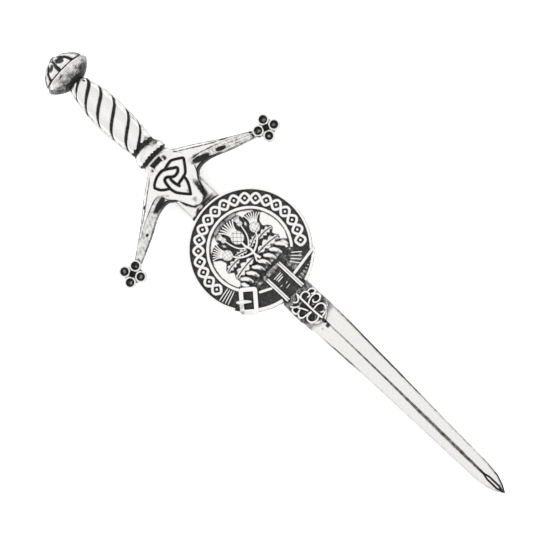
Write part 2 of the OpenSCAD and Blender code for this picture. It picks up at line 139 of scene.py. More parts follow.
def sweep(bm, path, size, steps=12, flat=1.0, closed=False, square=1.0):
    """A strand along a path: rings joined by bridges. size is (half width, height), or one for each point.

    flat cuts the section's top off at that share of its height, and a small square fills its corners.
    """
    rings = []
    n = len(path)
    for i, p in enumerate(path):
        a = path[i - 1] if closed or i else path[0]
        b = path[(i + 1) % n] if closed or i < n - 1 else path[-1]
        along = (b - a).normalized()
        side = along.cross(UP).normalized()
        over = side.cross(along)
        w, h = size[i] if isinstance(size, list) else size
        made = bmesh.ops.create_circle(bm, segments=steps, radius=1.0)["verts"]
        for v in made:
            x, y = (abs(c) ** square * (1 if c > 0 else -1) for c in v.co[:2])
            v.co = p + side * (x * w) + over * (min(y, flat) * h)
        rings.append(list({e for v in made for e in v.link_edges}))
    for a, b in zip(rings, rings[1:] + (rings[:1] if closed else [])):
        bmesh.ops.bridge_loops(bm, edges=a + b)
    if not closed:
        for r in (rings[0], rings[-1]):
            bmesh.ops.contextual_create(bm, geom=r)


def slab(bm, cols, rows, shape, floor):
    """A cast slab: a grid that shape(u, v) lays out and darkens, walls down to floor, closed below."""
    layer = bm.verts.layers.float.get("pressed") or bm.verts.layers.float.new("pressed")
    made = bmesh.ops.create_grid(bm, x_segments=cols, y_segments=rows, size=1.0)["verts"]
    u, v = np.array([m.co[:2] for m in made]).T
    for m, x, y, z, dark in zip(made, *shape(u, v)):
        m.co = (x, y, z)
        m[layer] = dark
    rim = list({e for m in made for e in m.link_edges if e.is_boundary})
    wall = bmesh.ops.extrude_edge_only(bm, edges=rim)["geom"]
    for g in wall:
        if isinstance(g, bmesh.types.BMVert):
            g.co.z = floor
    low = [g for g in wall if isinstance(g, bmesh.types.BMEdge) and g.is_boundary]
    bmesh.ops.holes_fill(bm, edges=low, sides=0)


def turned(bm, profile, centre, axis, out, steps):
    """A turned shape: profile is a list of (distance along the axis, radius)."""
    axis, out = Vector(axis), Vector(out)
    verts = [bm.verts.new(centre + axis * s + out * r) for s, r in profile]
    edges = [bm.edges.new(pair) for pair in zip(verts, verts[1:])]
    bmesh.ops.spin(bm, geom=verts + edges, cent=centre, axis=axis, dvec=(0, 0, 0), angle=2 * pi,
                   steps=steps, use_merge=True, use_duplicate=False)
    near = 1e-4
    ends = [v for v in bm.verts if v.is_boundary or len(v.link_faces) < 3
            or min(e.calc_length() for e in v.link_edges) < near]
    bmesh.ops.remove_doubles(bm, verts=ends, dist=near)


def hilt(bm, profile, steps):
    """A turned shape about the hilt's own axis: profile is a list of (station, radius)."""
    turned(bm, profile, plan(0, 0, AXIS_H), (0, -1, 0), UP, steps)


def press(bm, carve):
    """Presses the surface in along its own normals; carve(x, s, h) gives how deep and how dark."""
    bmesh.ops.recalc_face_normals(bm, faces=bm.faces)
    bm.normal_update()
    co = np.array([v.co[:] for v in bm.verts])
    deep, dark = carve(co[:, 0], TOP - co[:, 1], co[:, 2] - BACK)
    layer = bm.verts.layers.float.new("pressed")
    for v, d, q in zip(bm.verts, deep, dark):
        v.co -= v.normal * float(d)
        v[layer] = float(q)


def cut_flat(bm):
    """Cuts the shape flat at the sword's back."""
    made = bmesh.ops.bisect_plane(bm, geom=bm.verts[:] + bm.edges[:] + bm.faces[:], dist=1e-4,
                                  plane_co=(0, 0, BACK), plane_no=(0, 0, -1), clear_outer=True)
    rim = [g for g in made["geom_cut"] if isinstance(g, bmesh.types.BMEdge)]
    bmesh.ops.holes_fill(bm, edges=rim, sides=0)


# The finished pieces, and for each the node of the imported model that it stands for
PIECES = []
CASTING = {}


def piece(name, bm, node, crease=38):
    """Makes the finished shape an object in metres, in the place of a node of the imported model."""
    bmesh.ops.recalc_face_normals(bm, faces=bm.faces)
    bmesh.ops.scale(bm, vec=(MM, MM, MM), verts=bm.verts)
    mesh = bpy.data.meshes.new(name)
    bm.to_mesh(mesh)
    bm.free()
    mesh.shade_smooth()
    mesh.set_sharp_from_angle(angle=radians(crease))
    obj = bpy.data.objects.new(name, mesh)
    bpy.context.scene.collection.objects.link(obj)
    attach(obj, "root")
    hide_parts(node)
    PIECES.append(obj)
    CASTING[name] = node


# ---- pommel ----

BUTTON_R, SEAM_R = 0.95, 4.43
# Radius and rise of the cap over the seam, and of the bowl under it, and where the bowl ends
DOME_R, DOME_TALL = 4.489, 3.9
BOWL_R, BOWL_DEEP, S_BOWL_END = 5.455, 2.3, 6.45
# Bars between the cap's petals, in degrees round the axis from the front
BARS = [-80, -41, -3.5, 38, 79, 115, 151, 187, 223, 252]
# The dimple in each petal: degrees round, radius, strength
DIMPLE_OUT = 2.9
DIMPLES = [(-60, 0.4, 0.5), (-24, 0.78, 0.85), (19, 0.92, 1.0), (59, 0.4, 0.6), (97, 0.4, 1.0),
           (133, 0.4, 1.0), (169, 0.4, 1.0), (205, 0.4, 1.0), (237, 0.4, 1.0), (266, 0.4, 1.0)]


def pommel():
    """A cap of petals over a bowl, with a small button on top."""
    bm = bmesh.new()
    dome_c, bowl_c = S_WIDE - DOME_TALL + DOME_R, S_WIDE + BOWL_DEEP - BOWL_R
    button = [(BUTTON_R - BUTTON_R * cos(a), BUTTON_R * sin(a)) for a in np.linspace(0, radians(70), 9)]
    dome = [(dome_c - DOME_R * cos(a), DOME_R * sin(a))
            for a in np.linspace(asin(BUTTON_R / DOME_R), asin(SEAM_R / DOME_R), 46)]
    bowl = [(s, sqrt(BOWL_R ** 2 - (s - bowl_c) ** 2)) for s in np.linspace(S_WIDE + 0.1, S_BOWL_END, 18)]
    hilt(bm, button + dome + bowl + [(S_BOWL_END, 0)], 240)

    def carve(x, s, h):
        r = np.hypot(x, h - AXIS_H)
        turn = np.degrees(np.arctan2(x, h - AXIS_H))

        def round_from(at):
            return np.radians((turn - at + 180) % 360 - 180) * r

        groove, dimple = np.zeros_like(s), np.zeros_like(s)
        for at in BARS:
            groove = np.maximum(groove, np.exp(-np.abs(round_from(at) / (0.05 + 0.085 * r)) ** 2.6))
        for at, size, strong in DIMPLES:
            away = (round_from(at) ** 2 + (r - DIMPLE_OUT) ** 2) / size ** 2
            dimple = np.maximum(dimple, strong * np.exp(-away ** 2))
        on_dome = (1 - smooth(S_SEAM - 0.1, S_SEAM + 0.05, s)) * smooth(1.1, 1.7, r)
        groove, dimple = groove * on_dome, dimple * on_dome
        seam_wide = 0.16 + 0.08 * smooth(2.4, 3.8, np.abs(x))
        seam = np.exp(-((s - S_SEAM) / seam_wide) ** 2) * (r > 2)
        # Painted shade: grey over the bowl, deeper towards its sides and its underside, which turn from the
        # light; and a ragged black band of tarnish at its foot
        ragged = 0.06 * np.sin(0.6 * turn) + 0.05 * np.sin(1.3 * turn + 1)
        foot = 1.1 * smooth(5.6, 5.78, s + ragged - 0.35 * smooth(1.6, 2.6, np.abs(x - 0.2)))
        sides = smooth(1.2, 3.4, np.abs(x + 0.3)) * smooth(4.2, 5.2, s)
        grey = (0.36 + 0.26 * smooth(4.2, 5.6, s) + 0.16 * sides) * smooth(S_SEAM + 0.15, S_SEAM + 0.5, s)
        deep = 0.3 * groove + 0.55 * dimple + 0.2 * seam
        return deep, np.maximum.reduce([1.15 * groove, 1.1 * dimple, seam, foot, grey])

    press(bm, carve)
    cut_flat(bm)
    piece("pommel", bm, "sword")


# ---- grip and collar ----

GRIP_R, GRIP_LONG, BELLY_AT = 2.95, 16.3, 0.48
# How much narrower the grip is at its neck and at its foot
NECK_IN, FOOT_IN = 1.25, 0.75
# Where the spiral grooves cross the front, and the nearest turns beyond both ends
GROOVES = [4.16, 6.76, 9.2, 12.2, 15.45, 18.9, 21.7, 24.6, 27.3]


def barrel_r(s):
    """Radius of the grip at a station."""
    belly = S_NECK + BELLY_AT * GRIP_LONG
    s = np.asarray(s, float)
    up, low = belly - S_NECK + 0.1, S_COLLAR + 0.1 - belly
    arc_up = (up * up + NECK_IN ** 2) / (2 * NECK_IN)
    arc_low = (low * low + FOOT_IN ** 2) / (2 * FOOT_IN)
    d = s - belly
    return np.where(d < 0, GRIP_R - arc_up + np.sqrt(arc_up ** 2 - np.clip(d, -up, 0) ** 2),
                    GRIP_R - arc_low + np.sqrt(arc_low ** 2 - np.clip(d, 0, low) ** 2))


def grip():
    """A barrel with a spiral groove."""
    bm = bmesh.new()
    stations = np.linspace(S_NECK - 0.15, S_COLLAR + 0.1, 170)
    profile = [(s, float(barrel_r(s))) for s in stations]
    hilt(bm, [(stations[0], 0)] + profile + [(stations[-1], 0)], 150)

    def carve(x, s, h):
        turn = np.arctan2(x, h - AXIS_H)
        r = barrel_r(s)
        rise = 0.62 * r * turn + 0.1 * r * turn ** 3
        depth = np.zeros_like(s)
        for k, first in enumerate(GROOVES):
            away = (s + rise - first) * 0.83
            wide = (0.32 if 2 <= k <= 5 else 0.18 if k == 1 else 0.25) * (1 - 0.35 * smooth(0.3, 1.3, -turn))
            depth = np.maximum(depth, np.exp(-np.abs(away / wide) ** 2.6))
        ends = smooth(S_NECK - 0.1, S_NECK + 0.3, s) * (1 - smooth(S_COLLAR - 0.15, S_COLLAR, s))
        depth = depth * ends * (np.hypot(x, h - AXIS_H) > 1)
        # The mould's parting line down each side, a faint groove darkened with painted shade where the barrel
        # turns from the light, and a ragged dark band above the collar
        parting_line_shade = np.exp(-((np.abs(x) - 0.86 * r) / 0.1) ** 2) * (h > AXIS_H) * ends
        ragged = 0.1 * np.sin(8 * x) + 0.06 * np.sin(19 * x + 1) - 0.16 * smooth(0.2, 1.4, x)
        foot = smooth(S_COLLAR - 0.85, S_COLLAR - 0.6, s + ragged) * (h > 0.5)
        return 0.3 * depth + 0.03 * parting_line_shade, np.maximum.reduce([1.15 * depth, 0.5 * parting_line_shade, 1.05 * foot])

    press(bm, carve)
    cut_flat(bm)
    piece("grip", bm, "sword")


def collar():
    """A swelling ring with a groove under it."""
    bm = bmesh.new()
    r = GRIP_R
    end = S_GUARD + 0.3
    section = [(S_COLLAR - 0.02, 2.3), (S_COLLAR + 0.2, 2.38), (S_COLLAR + 0.55, 2.62), (S_COLLAR + 0.95, 2.84),
               (S_COLLAR + 1.3, r - 0.02), (end - 1.0, r), (end - 0.72, r - 0.04), (end - 0.58, r - 0.14),
               (end - 0.44, r - 0.36), (end - 0.14, r - 0.4), (end - 0.02, r - 0.26), (end + 0.06, r - 0.2)]
    hilt(bm, [(S_COLLAR - 0.02, 0)] + flat_curve(section, 4) + [(end + 0.1, 0)], 120)

    def carve(x, s, h):
        ragged = 0.09 * np.sin(9 * x) + 0.07 * np.sin(23 * x + 2)
        groove = 1.1 * np.exp(-np.abs((s - end + 0.34 + ragged * (s < end - 0.3)) / 0.42) ** 5)
        # Painted shade: dark over the collar's top, where it rises from the grip, and grey down its right side
        top = 0.85 * smooth(S_COLLAR + 0.4, S_COLLAR + 0.15, s)
        right = 0.62 * smooth(0.3, 1.8, x) * smooth(S_COLLAR + 1.7, S_COLLAR + 0.9, s)
        return 0 * x, np.maximum(groove, top + right)

    press(bm, carve)
    cut_flat(bm)
    piece("collar", bm, "sword")


# ---- guard ----

LANGET, PLATE_H, PLATE_HALF = 11.25, 2.5, 2.85
# The knot plate: share of the langet's length, half width as a share of the plate's
PLATE = np.array([
    [0.06, 0.72], [0.1, 0.8], [0.15, 0.96], [0.2, 1.18], [0.28, 1.36], [0.45, 1.38], [0.55, 1.3],
    [0.632, 1.13], [0.7, 0.92], [0.816, 0.7], [0.887, 0.57], [0.955, 0.43], [0.985, 0.3], [1.0, 0.14]])
HALF_SPAN, DROP, GUARD_H, GUARD_EDGE = 17.0, 10.8, 2.3, 1.2
# An arm: share of the half span, its upper and lower edges as shares of the drop, its thickness
ARM = np.array([
    [0.00, 0.02, 0.80, 1.00], [0.15, 0.075, 0.75, 1.00], [0.24, 0.17, 0.64, 0.97], [0.39, 0.325, 0.66, 0.92],
    [0.61, 0.58, 0.82, 0.85], [0.87, 0.85, 0.98, 0.76], [0.93, 0.91, 1.01, 0.74]])
# An arm's two ridges: share of the half span, and how far each lies across the arm
RIDGES = np.array([
    [0, 0.03, 0.7], [0.15, 0.1, 0.68], [0.235, 0.15, 0.63], [0.33, 0.2, 0.56], [0.43, 0.23, 0.49],
    [0.52, 0.2, 0.37], [0.64, 0.13, 0.26], [0.93, 0.1, 0.2]])
# Share of the half span where an arm ends inside its quatrefoil
ARM_END = 0.888
# The guard sits a little askew, with its right arm the higher one
SKEW = 0.02


def skew(bm):
    """Shears a piece of the guard, so that it sits askew as the casting does."""
    for v in bm.verts:
        v.co.y += SKEW * v.co.x


def plate_half(s):
    """Half width of the knot plate at a station."""
    t = (s - S_GUARD) / LANGET
    return PLATE_HALF * through(t, PLATE[:, 0], PLATE[:, 1]) * ((t > PLATE[0, 0]) & (t < 1))


def arms():
    """Both arms of the guard, with a bevel above and a broad face below two ridges."""
    bm = bmesh.new()
    across = np.array([0, 0.05, 0.25, 0.3, 0.55, 0.6, 0.95, 1.0])

    def shape(u, v):
        t = np.abs(u) * ARM_END
        a = S_GUARD + DROP * through(t, ARM[:, 0], ARM[:, 1])
        b = S_GUARD + DROP * through(t, ARM[:, 0], ARM[:, 2])
        k = through(t, ARM[:, 0], ARM[:, 3])
        upper = through(t, RIDGES[:, 0], RIDGES[:, 1])
        lower = through(t, RIDGES[:, 0], RIDGES[:, 2])
        tall = GUARD_H * k + (PLATE_H - GUARD_H * k) * (1 - smooth(0.25, 0.45, t))
        edge = GUARD_EDGE * k
        q = (v + 1) / 2
        at = np.stack([0 * q, 0.02 + 0 * q, upper - 0.01, upper + 0.02, lower - 0.02, lower + 0.03,
                       0.97 + 0 * q, 1 + 0 * q])
        high = np.stack([edge, edge + 0.45 * (tall - edge), tall - 0.03, tall, tall, tall - 0.04,
                         edge + 0.52 * (tall - edge), edge])
        place, h = steps_between(across, at, q), steps_between(across, high, q)
        wide = b - a
        x, s = np.sign(u) * t * HALF_SPAN, a + wide * place
        left = u < 0
        # Painted shade as dark lines: under the lower ridge, at the upper ridge, and along the upper edge
        strong = 0.66 - 0.04 * left + 0.16 * smooth(0.42, 0.34, t)
        line = strong * np.exp(-((place - lower - 0.02) * wide / 0.17) ** 2)
        line = line * smooth(0.2, 0.3, t) * (1 - 0.45 * smooth(0.5, 0.8, t))
        ridge = 0.72 * np.exp(-((place - upper) * wide / 0.19) ** 2)
        ridge = ridge * smooth(0.12, 0.2, t) * (1 - 0.5 * smooth(0.5, 0.75, t))
        brim = (0.56 + 0.14 * smooth(0.45, 0.7, t)) * smooth(0.38, 0.2, place * wide) * smooth(0.12, 0.2, t)
        # A grey face, two streaks on the right arm, and painted shadow along the lower edge that thins outwards
        face = (0.34 + 0.05 * np.sin(9 * x + 5 * s)) * smooth(0.02, 0.08, place - lower) * smooth(0.22, 0.3, t)
        streak = np.maximum(np.exp(-((place - 0.5) * wide / 0.13) ** 2),
                            np.exp(-((place - 0.74) * wide / 0.11) ** 2))
        streak = 0.6 * streak * smooth(0.48, 0.6, t) * (u > 0)
        reach = np.where(left, 0.42 - 0.28 * smooth(0.27, 0.34, t), 0.42 - 0.16 * smooth(0.34, 0.5, t))
        fade = np.where(left, 1 - 0.34 * smooth(0.28, 0.36, t), 1 - 0.4 * smooth(0.36, 0.55, t))
        low = fade * smooth(reach + 0.07, reach - 0.07, (1 - place) * wide)
        # The arms pass just below the knot plate's face
        under = smooth(0.03, 0.16, plate_half(s) - np.abs(x))
        dark = np.maximum.reduce([line, ridge, brim, low, face, streak])
        return x, TOP - s, BACK + h - 0.7 * under, dark

    slab(bm, 240, 60, shape, BACK)
    skew(bm)
    piece("guard_arms", bm, "sword", 50)


# The three-pointed knot: x and distance below its middle, for its outline and each carved line
S_KNOT = S_GUARD + 0.42 * LANGET
KNOT_LEFT = 0.1
KNOT_OUTLINE = [
    (-3.57, -0.98), (-2.5, -1.75), (-0.85, -2.14), (0.63, -2.12), (1.61, -2.24), (2.5, -1.8), (3.53, -0.97),
    (2.4, 0.62), (1.34, 1.29), (1.18, 2.27), (-0.05, 4.29), (-1.56, 2.27), (-1.8, 1.1), (-2.8, 0.35),
    (-3.57, -0.98)]
KNOT = [
    [(-3.57, -0.98), (-3.18, -1.41), (-2.56, -1.75), (-1.83, -2.02), (-0.85, -2.14), (-0.23, -2.0),
     (0.38, -1.59), (0.99, -1.1), (1.58, -0.65), (1.39, -0.18), (0.81, 0.09), (0.13, 0.04), (-0.38, -0.37),
     (-0.78, -0.73), (-1.28, -0.73), (-1.58, -0.3), (-1.73, 0.55), (-1.8, 1.29), (-1.56, 2.27),
     (-0.97, 3.15), (-0.05, 4.29)],
    [(-3.57, -0.92), (-3.18, -0.06), (-2.56, 0.55), (-1.9, 0.98)],
    [(-0.11, -1.9), (0.63, -2.12), (1.61, -2.24), (2.34, -1.9), (3.08, -1.38), (3.53, -0.97), (3.08, -0.24),
     (2.4, 0.62), (1.85, 1.11), (1.12, 1.31), (0.38, 1.41), (-0.23, 1.54)],
    [(-0.45, -0.3), (-0.6, 0.19), (-0.58, 0.92), (-0.36, 1.84)],
    [(1.34, 1.29), (1.18, 2.27), (0.69, 3.25), (-0.05, 4.29)],
]


def knot_plate():
    """The guard's middle and the langet, with the knot raised between carved lines."""
    bm = bmesh.new()
    lines = [flat_curve(k) for k in KNOT]
    outline = flat_curve(KNOT_OUTLINE, 4)

    def shape(u, v):
        t = PLATE[0, 0] + (u + 1) / 2 * (1 - PLATE[0, 0])
        half = PLATE_HALF * through(t, PLATE[:, 0], PLATE[:, 1])
        edge = np.minimum(0.3, 0.4 * half)
        a = np.abs(v)
        x = np.sign(v) * np.where(a < 0.9, a / 0.9 * (half - edge), half - edge + (a - 0.9) / 0.1 * edge)
        s = S_GUARD + t * LANGET
        free = smooth(0.56, 0.66, t)
        h = PLATE_H - 0.3 * smooth(0.9, 1.0, a) * free - 0.25 * smooth(0.93, 1.0, t)
        d = near_lines(x + KNOT_LEFT, s - S_KNOT, lines)
        raised = inside(x + KNOT_LEFT, s - S_KNOT, outline)
        line = 1 - smooth(0.11, 0.26, d)
        h = h + 0.16 * raised * smooth(0.15, 0.45, d) - 0.3 * line
        # The carved lines hold black; the langet's side edges get a line of painted shade
        return x, TOP - s, BACK + h, np.maximum(1.15 * line, 0.6 * smooth(0.955, 0.99, a) * free)

    slab(bm, 170, 130, shape, BACK)
    piece("knot_plate", bm, "sword")


def block():
    """The shoulder between collar and knot plate, with a dark pocket in its face."""
    bm = bmesh.new()
    start, end = 0.22, 2.25
    top_start, top_end = 3.85, 2.5

    def shape(u, v):
        t = (u + 1) / 2
        s = S_GUARD + start + t * (end - start)
        k = smooth(0.1, 0.9, t)
        half = 2.8 + 0.62 * smooth(0.05, 0.9, t)
        fall = (1 - smooth(-0.35, 1.0, t)) / (1 - smooth(-0.35, 1.0, 0.0))
        top = top_end + (top_start - top_end) * fall
        power = 2 + 4 * k
        a = np.abs(v) ** 0.8 * 0.999
        x = np.sign(v) * a * half
        low = 1.45 * (1 - k) + 1.2 * k
        h = low + (top - low) * (1 - a ** power) ** (1 / power)
        px, ps = np.abs(x + 0.33), s - (S_GUARD + 1.35)
        pocket = (1 - smooth(0.88, 1.1, px + 0.2 * ps)) * (1 - smooth(0.62, 0.8, np.abs(ps)))
        right = np.exp(-((x - 1.25) / 0.38) ** 4 - ((ps - 0.05) / 0.42) ** 4)
        left = 0.8 * np.exp(-((x + 1.8) / 0.28) ** 4 - ((ps - 0.15) / 0.25) ** 4)
        below = 0.9 * np.exp(-((ps - 0.55) / 0.12) ** 4 - (x / 1.5) ** 6)
        marks = np.maximum.reduce([right, left, below])
        return x, TOP - s, BACK + h - 0.4 * pocket - 0.2 * marks, np.maximum(1.2 * pocket, 0.75 * marks)

    slab(bm, 60, 90, shape, BACK)
    piece("guard_block", bm, "sword")


# A quatrefoil: how far out it sits, its lobes' distance from its middle, their radius, the cups' radius
FOIL_X, FOIL_R, LOBE_R, CUP_R, FOIL_H = 16.93, 1.48, 1.04, 0.7, 2.1
CUP_DEEP = 0.78


def quatrefoil(side, name):
    """Four cupped lobes round a small boss, at the end of an arm."""
    bm = bmesh.new()
    turn = radians(26 * side)

    def at(r, a, h=0.0):
        x, y = r * cos(a), r * sin(a)
        return plan(side * FOIL_X + x * cos(turn) - y * sin(turn),
                    S_GUARD + DROP + x * sin(turn) + y * cos(turn), h)

    rim, half = (LOBE_R + CUP_R) / 2, (LOBE_R - CUP_R) / 2
    ring = [(FOIL_H - half + half * sin(a), rim + half * cos(a)) for a in np.linspace(0, pi, 9)]
    cup = [(FOIL_H - 0.62, CUP_R - 0.1), (FOIL_H - 0.75, CUP_R - 0.28), (FOIL_H - CUP_DEEP, 0)]
    for i in range(4):
        a = i * pi / 2
        turned(bm, [(0, 0), (0, LOBE_R - 0.03)] + ring + cup, at(FOIL_R, a), UP, (1, 0, 0), 48)
        b = a + pi / 4
        sweep(bm, [at(1.3, b, 1.3), at(0.85, b, 1.3)], (0.24, FOIL_H - 1.4), steps=10, flat=0.9)
    turned(bm, [(0, 0), (0, 1.6), (0.85, 1.6), (1.08, 1.4), (1.08, 0)], at(0, 0), UP, (1, 0, 0), 64)
    turned(bm, [(0.2, 0), (0.2, 0.8), (1.3, 0.8), (1.3, 0)], at(0, 0), UP, (1, 0, 0), 40)
    skew(bm)
    piece(name, bm, "sword")


# ---- blade ----

BLADE_LONG, BLADE_HALF, BLADE_TOP, BLADE_EDGE = 83, 3.2, 1.7, 0.7
# Share of the blade's length, half width and thickness as shares of the full ones
BLADE = np.array([
    [0.03, 1.0, 1.0], [0.15, 1.0, 1.0], [0.5, 0.9, 1.0], [0.61, 0.79, 0.96], [0.8, 0.66, 0.9],
    [0.93, 0.58, 0.82], [0.964, 0.48, 0.76], [0.985, 0.28, 0.66], [1.0, 0.05, 0.5]])


def blade():
    """A flat blade with bevelled edges and a narrow fuller, with the black left in the fuller, painted shade
    along its edges, and painted shadow under the badge's scroll end.
    """
    bm = bmesh.new()
    knots = np.array([0, 0.08, 0.16, 0.26, 0.76, 0.84, 0.94, 1.0])

    def shape(u, v):
        t = BLADE[0, 0] + (u + 1) / 2 * (1 - BLADE[0, 0])
        w = BLADE_HALF * np.interp(t, BLADE[:, 0], BLADE[:, 1])
        k = np.interp(t, BLADE[:, 0], BLADE[:, 2])
        bevel, fuller = np.minimum(0.4, 0.4 * w), np.minimum(0.18, 0.2 * w)
        top, edge, deep = BLADE_TOP * k, BLADE_EDGE * k, 0.2 * k
        shoulder = edge + 0.45 * (top - edge)
        xs = np.stack([0 * w, fuller * 0.5, fuller, fuller * 1.5, w - bevel * 1.15, w - bevel * 0.85,
                       w - 0.03, w])
        hs = np.stack([top - deep, top - deep * 0.8, top - 0.02, top, shoulder + 0.02, shoulder - 0.05,
                       edge + 0.03, edge - 0.05])
        x, h = steps_between(knots, xs, np.abs(v)), steps_between(knots, hs, np.abs(v))
        s = S_GUARD + t * BLADE_LONG
        # The middle line widens down the blade and opens into a loop near the point
        split = np.interp(s, [103.2, 104.3, 106.6, 107.4], [0, 0.3, 0.3, 0])
        wide = np.interp(s, [64, 68, 75, 84, 90, 98, 102, 104.5, 107.4],
                         [0.04, 0.06, 0.16, 0.3, 0.42, 0.4, 0.3, 0.17, 0.24])
        line = np.exp(-np.abs((x - split) / wide) ** 4) * smooth(64, 67, s) * (s < 107.7)
        line = line * np.interp(s, [68, 80, 95, 102, 104], [0.54, 0.58, 0.62, 0.66, 1.0])
        # Painted shade along each edge's bevel, mostly stronger on the right
        right = v > 0
        side = np.where(right,
                        np.interp(s, [60, 65, 70, 82, 87, 92, 101, 104, 107],
                                  [0.3, 0.5, 0.78, 0.8, 0.6, 0.5, 0.5, 0.72, 0.85]),
                        np.interp(s, [60, 68, 70, 74, 76, 104, 107], [0.1, 0.4, 0.75, 0.72, 0.4, 0.35, 0.5]))
        inwards, soft = np.where(right, 0.13, 0.32), np.where(right, 0.25, 0.2)
        bevel_shade_line = side * np.exp(-((x - w + inwards) / soft) ** 2)
        shade = 0.58 * smooth(66.3, 64.3, s) * smooth(0.4, 1.4, x) * (s > 62)
        # The casting isn't quite straight
        bow = np.interp(s, [62, 70, 80, 90, 100, 107.5], [0, 0.12, 0.1, -0.02, -0.1, -0.15])
        return np.sign(v) * x + bow, TOP - s, BACK + h, np.maximum.reduce([line, bevel_shade_line, shade])

    slab(bm, 420, 50, shape, BACK)
    piece("blade", bm, "sword")


# ---- badge ----

RIM_R, RING_OUT, RING_IN, PLATE_T = 10.7, 7.5, 6.9, 1.2
# Where strands start, so that they grow out of the plate
ROOT = PLATE_T - 0.05


def roundel():
    """The round plate, and the two rims that edge the strap; both rims stop at its tail."""
    bm = bmesh.new()
    radii = [0.0] + list(np.arange(0.15, RIM_R - 0.12, 0.15)) + [RIM_R - 0.1]
    side = [(PLATE_T - 0.08, RIM_R), (0.08, RIM_R), (0, RIM_R - 0.08), (0, 0)]
    turned(bm, [(PLATE_T, r) for r in radii] + side, badge(0, 0, 0), UP, (1, 0, 0), 300)
    piece("badge_plate", bm, "crest_badge")

    bm = bmesh.new()
    for r, half, end in ((RIM_R - 0.23, 0.23, 406), ((RING_OUT + RING_IN) / 2, 0.32, 403)):
        path = [badge(x, y, ROOT) for x, y in arc(0, 0, r, 150, end, 220)]
        sweep(bm, path, (half, 0.625), steps=20, flat=0.8, square=0.75)
    piece("badge_rims", bm, "crest_badge")


# The plait round the strap: its middle's radius, its half width, its eyes, and the angles of the end ones
BAND_R, BAND_HIGH, REPEATS, BAND_FROM, BAND_TO = 8.83, 0.86, 19, 176.0, 396.0


def plait():
    """Two strands that cross round the strap, with a pellet in each eye."""
    bm = bmesh.new()
    low = PLATE_T - 0.02
    step = (BAND_TO - BAND_FROM) / (REPEATS - 1)
    n = REPEATS * 14
    for side in (-1, 1):
        path = []
        for i in range(n + 1):
            t = REPEATS * i / n
            r = BAND_R + BAND_HIGH * side * sin(pi * t)
            a = radians(BAND_FROM - step / 2 + step * t)
            sign = side * (1 if int(round(t)) % 2 else -1)
            over = 0.1 * sign * max(0.0, 1 - abs(t - round(t)) / 0.22)
            path.append(badge(r * cos(a), r * sin(a), low + over))
        sweep(bm, path, (0.26, 0.4), steps=12, flat=0.75, square=0.75)
    pellet = [(0, 0), (0, 0.27), (0.2, 0.26), (0.3, 0.2), (0.3, 0)]
    for i in range(REPEATS):
        a = radians(BAND_FROM + i * step)
        turned(bm, pellet, badge(BAND_R * cos(a), BAND_R * sin(a), low), UP, (1, 0, 0), 16)
    piece("band_plait", bm, "crest_badge")


TWISTS, PITCH, WREATH_Y = 7, 1.4, 3.55
TWIST_UP, TWIST_TALL = 1.02, 2.04


def twist_x(t):
    """How far across a twist of the wreath lies, from its top (0) to its foot (1)."""
    return 1.3 * np.sin(pi / 2 * t) - 0.72


def wreath():
    """A roll of twisted cloth: slanting twists over a core, with a loose end each side."""
    bm = bmesh.new()
    for i in range(TWISTS):
        c = (i - (TWISTS - 1) / 2) * PITCH
        path, size = [], []
        for k in range(19):
            t = k / 18
            y = WREATH_Y - TWIST_UP + TWIST_TALL * (1 - cos(pi / 2 * t))
            path.append(badge(c + twist_x(t), y, PLATE_T + 0.08))
            fat = sqrt(max(0.0, 1 - abs(2 * t - 1) ** 3))
            size.append((0.14 + 0.36 * fat, 0.14 + 0.6 * fat))
        sweep(bm, path, size, steps=18)
    for e in (-1, 1):
        path = [badge(e * (4.85 + 0.45 * t), WREATH_Y + 0.75 * e * t - 0.1 * e, PLATE_T + 0.05)
                for t in (-1, -0.6, -0.2, 0.2, 0.6, 1)]
        sweep(bm, path, [(w, w) for w in (0.2, 0.5, 0.6, 0.6, 0.45, 0.15)], steps=14)
    core = [badge(x, WREATH_Y, PLATE_T - 0.02) for x in (-5.0, -2.5, 0, 2.5, 5.0)]
    sweep(bm, core, (0.78, 0.3), steps=12)
    thread = [badge(x, WREATH_Y - 1.33, PLATE_T - 0.02) for x in (-4.9, 0, 4.9)]
    sweep(bm, thread, (0.14, 0.2), steps=8)
    piece("wreath", bm, "crest_badge")


def keeper():
    """The worn swell of the strap's keeper under the wreath."""
    bm = bmesh.new()

    def shape(u, v):
        x, y = -0.75 + 2.6 * u, 5.25 + 0.62 * v * np.sqrt(1 - 0.8 * u * u)
        z = 0.3 * np.sqrt(np.clip(1 - u * u, 0, 1)) * np.sqrt(np.clip(1 - v * v, 0, 1))
        dent = np.maximum(np.exp(-((x + 1.35) / 0.22) ** 2), 0.8 * np.exp(-((x + 2.3) / 0.2) ** 2))
        dark = 0.58 + 0.25 * dent + 0.3 * np.abs(v) ** 3
        return x, TOP - S_BADGE - y, BADGE_BACK + PLATE_T + z - 0.14 * dent - 0.01, dark

    slab(bm, 60, 24, shape, BADGE_BACK + PLATE_T - 0.08)
    piece("strap_keeper", bm, "crest_badge")


# A leaf's outline: share of its length, half width as a share of the widest
TEETH = np.array([
    [0, 0.12], [0.08, 0.3], [0.16, 0.62], [0.24, 0.7], [0.31, 0.36], [0.4, 0.82], [0.49, 0.98],
    [0.57, 0.42], [0.65, 0.74], [0.73, 0.84], [0.8, 0.36], [0.9, 0.42], [1, 0.03]])


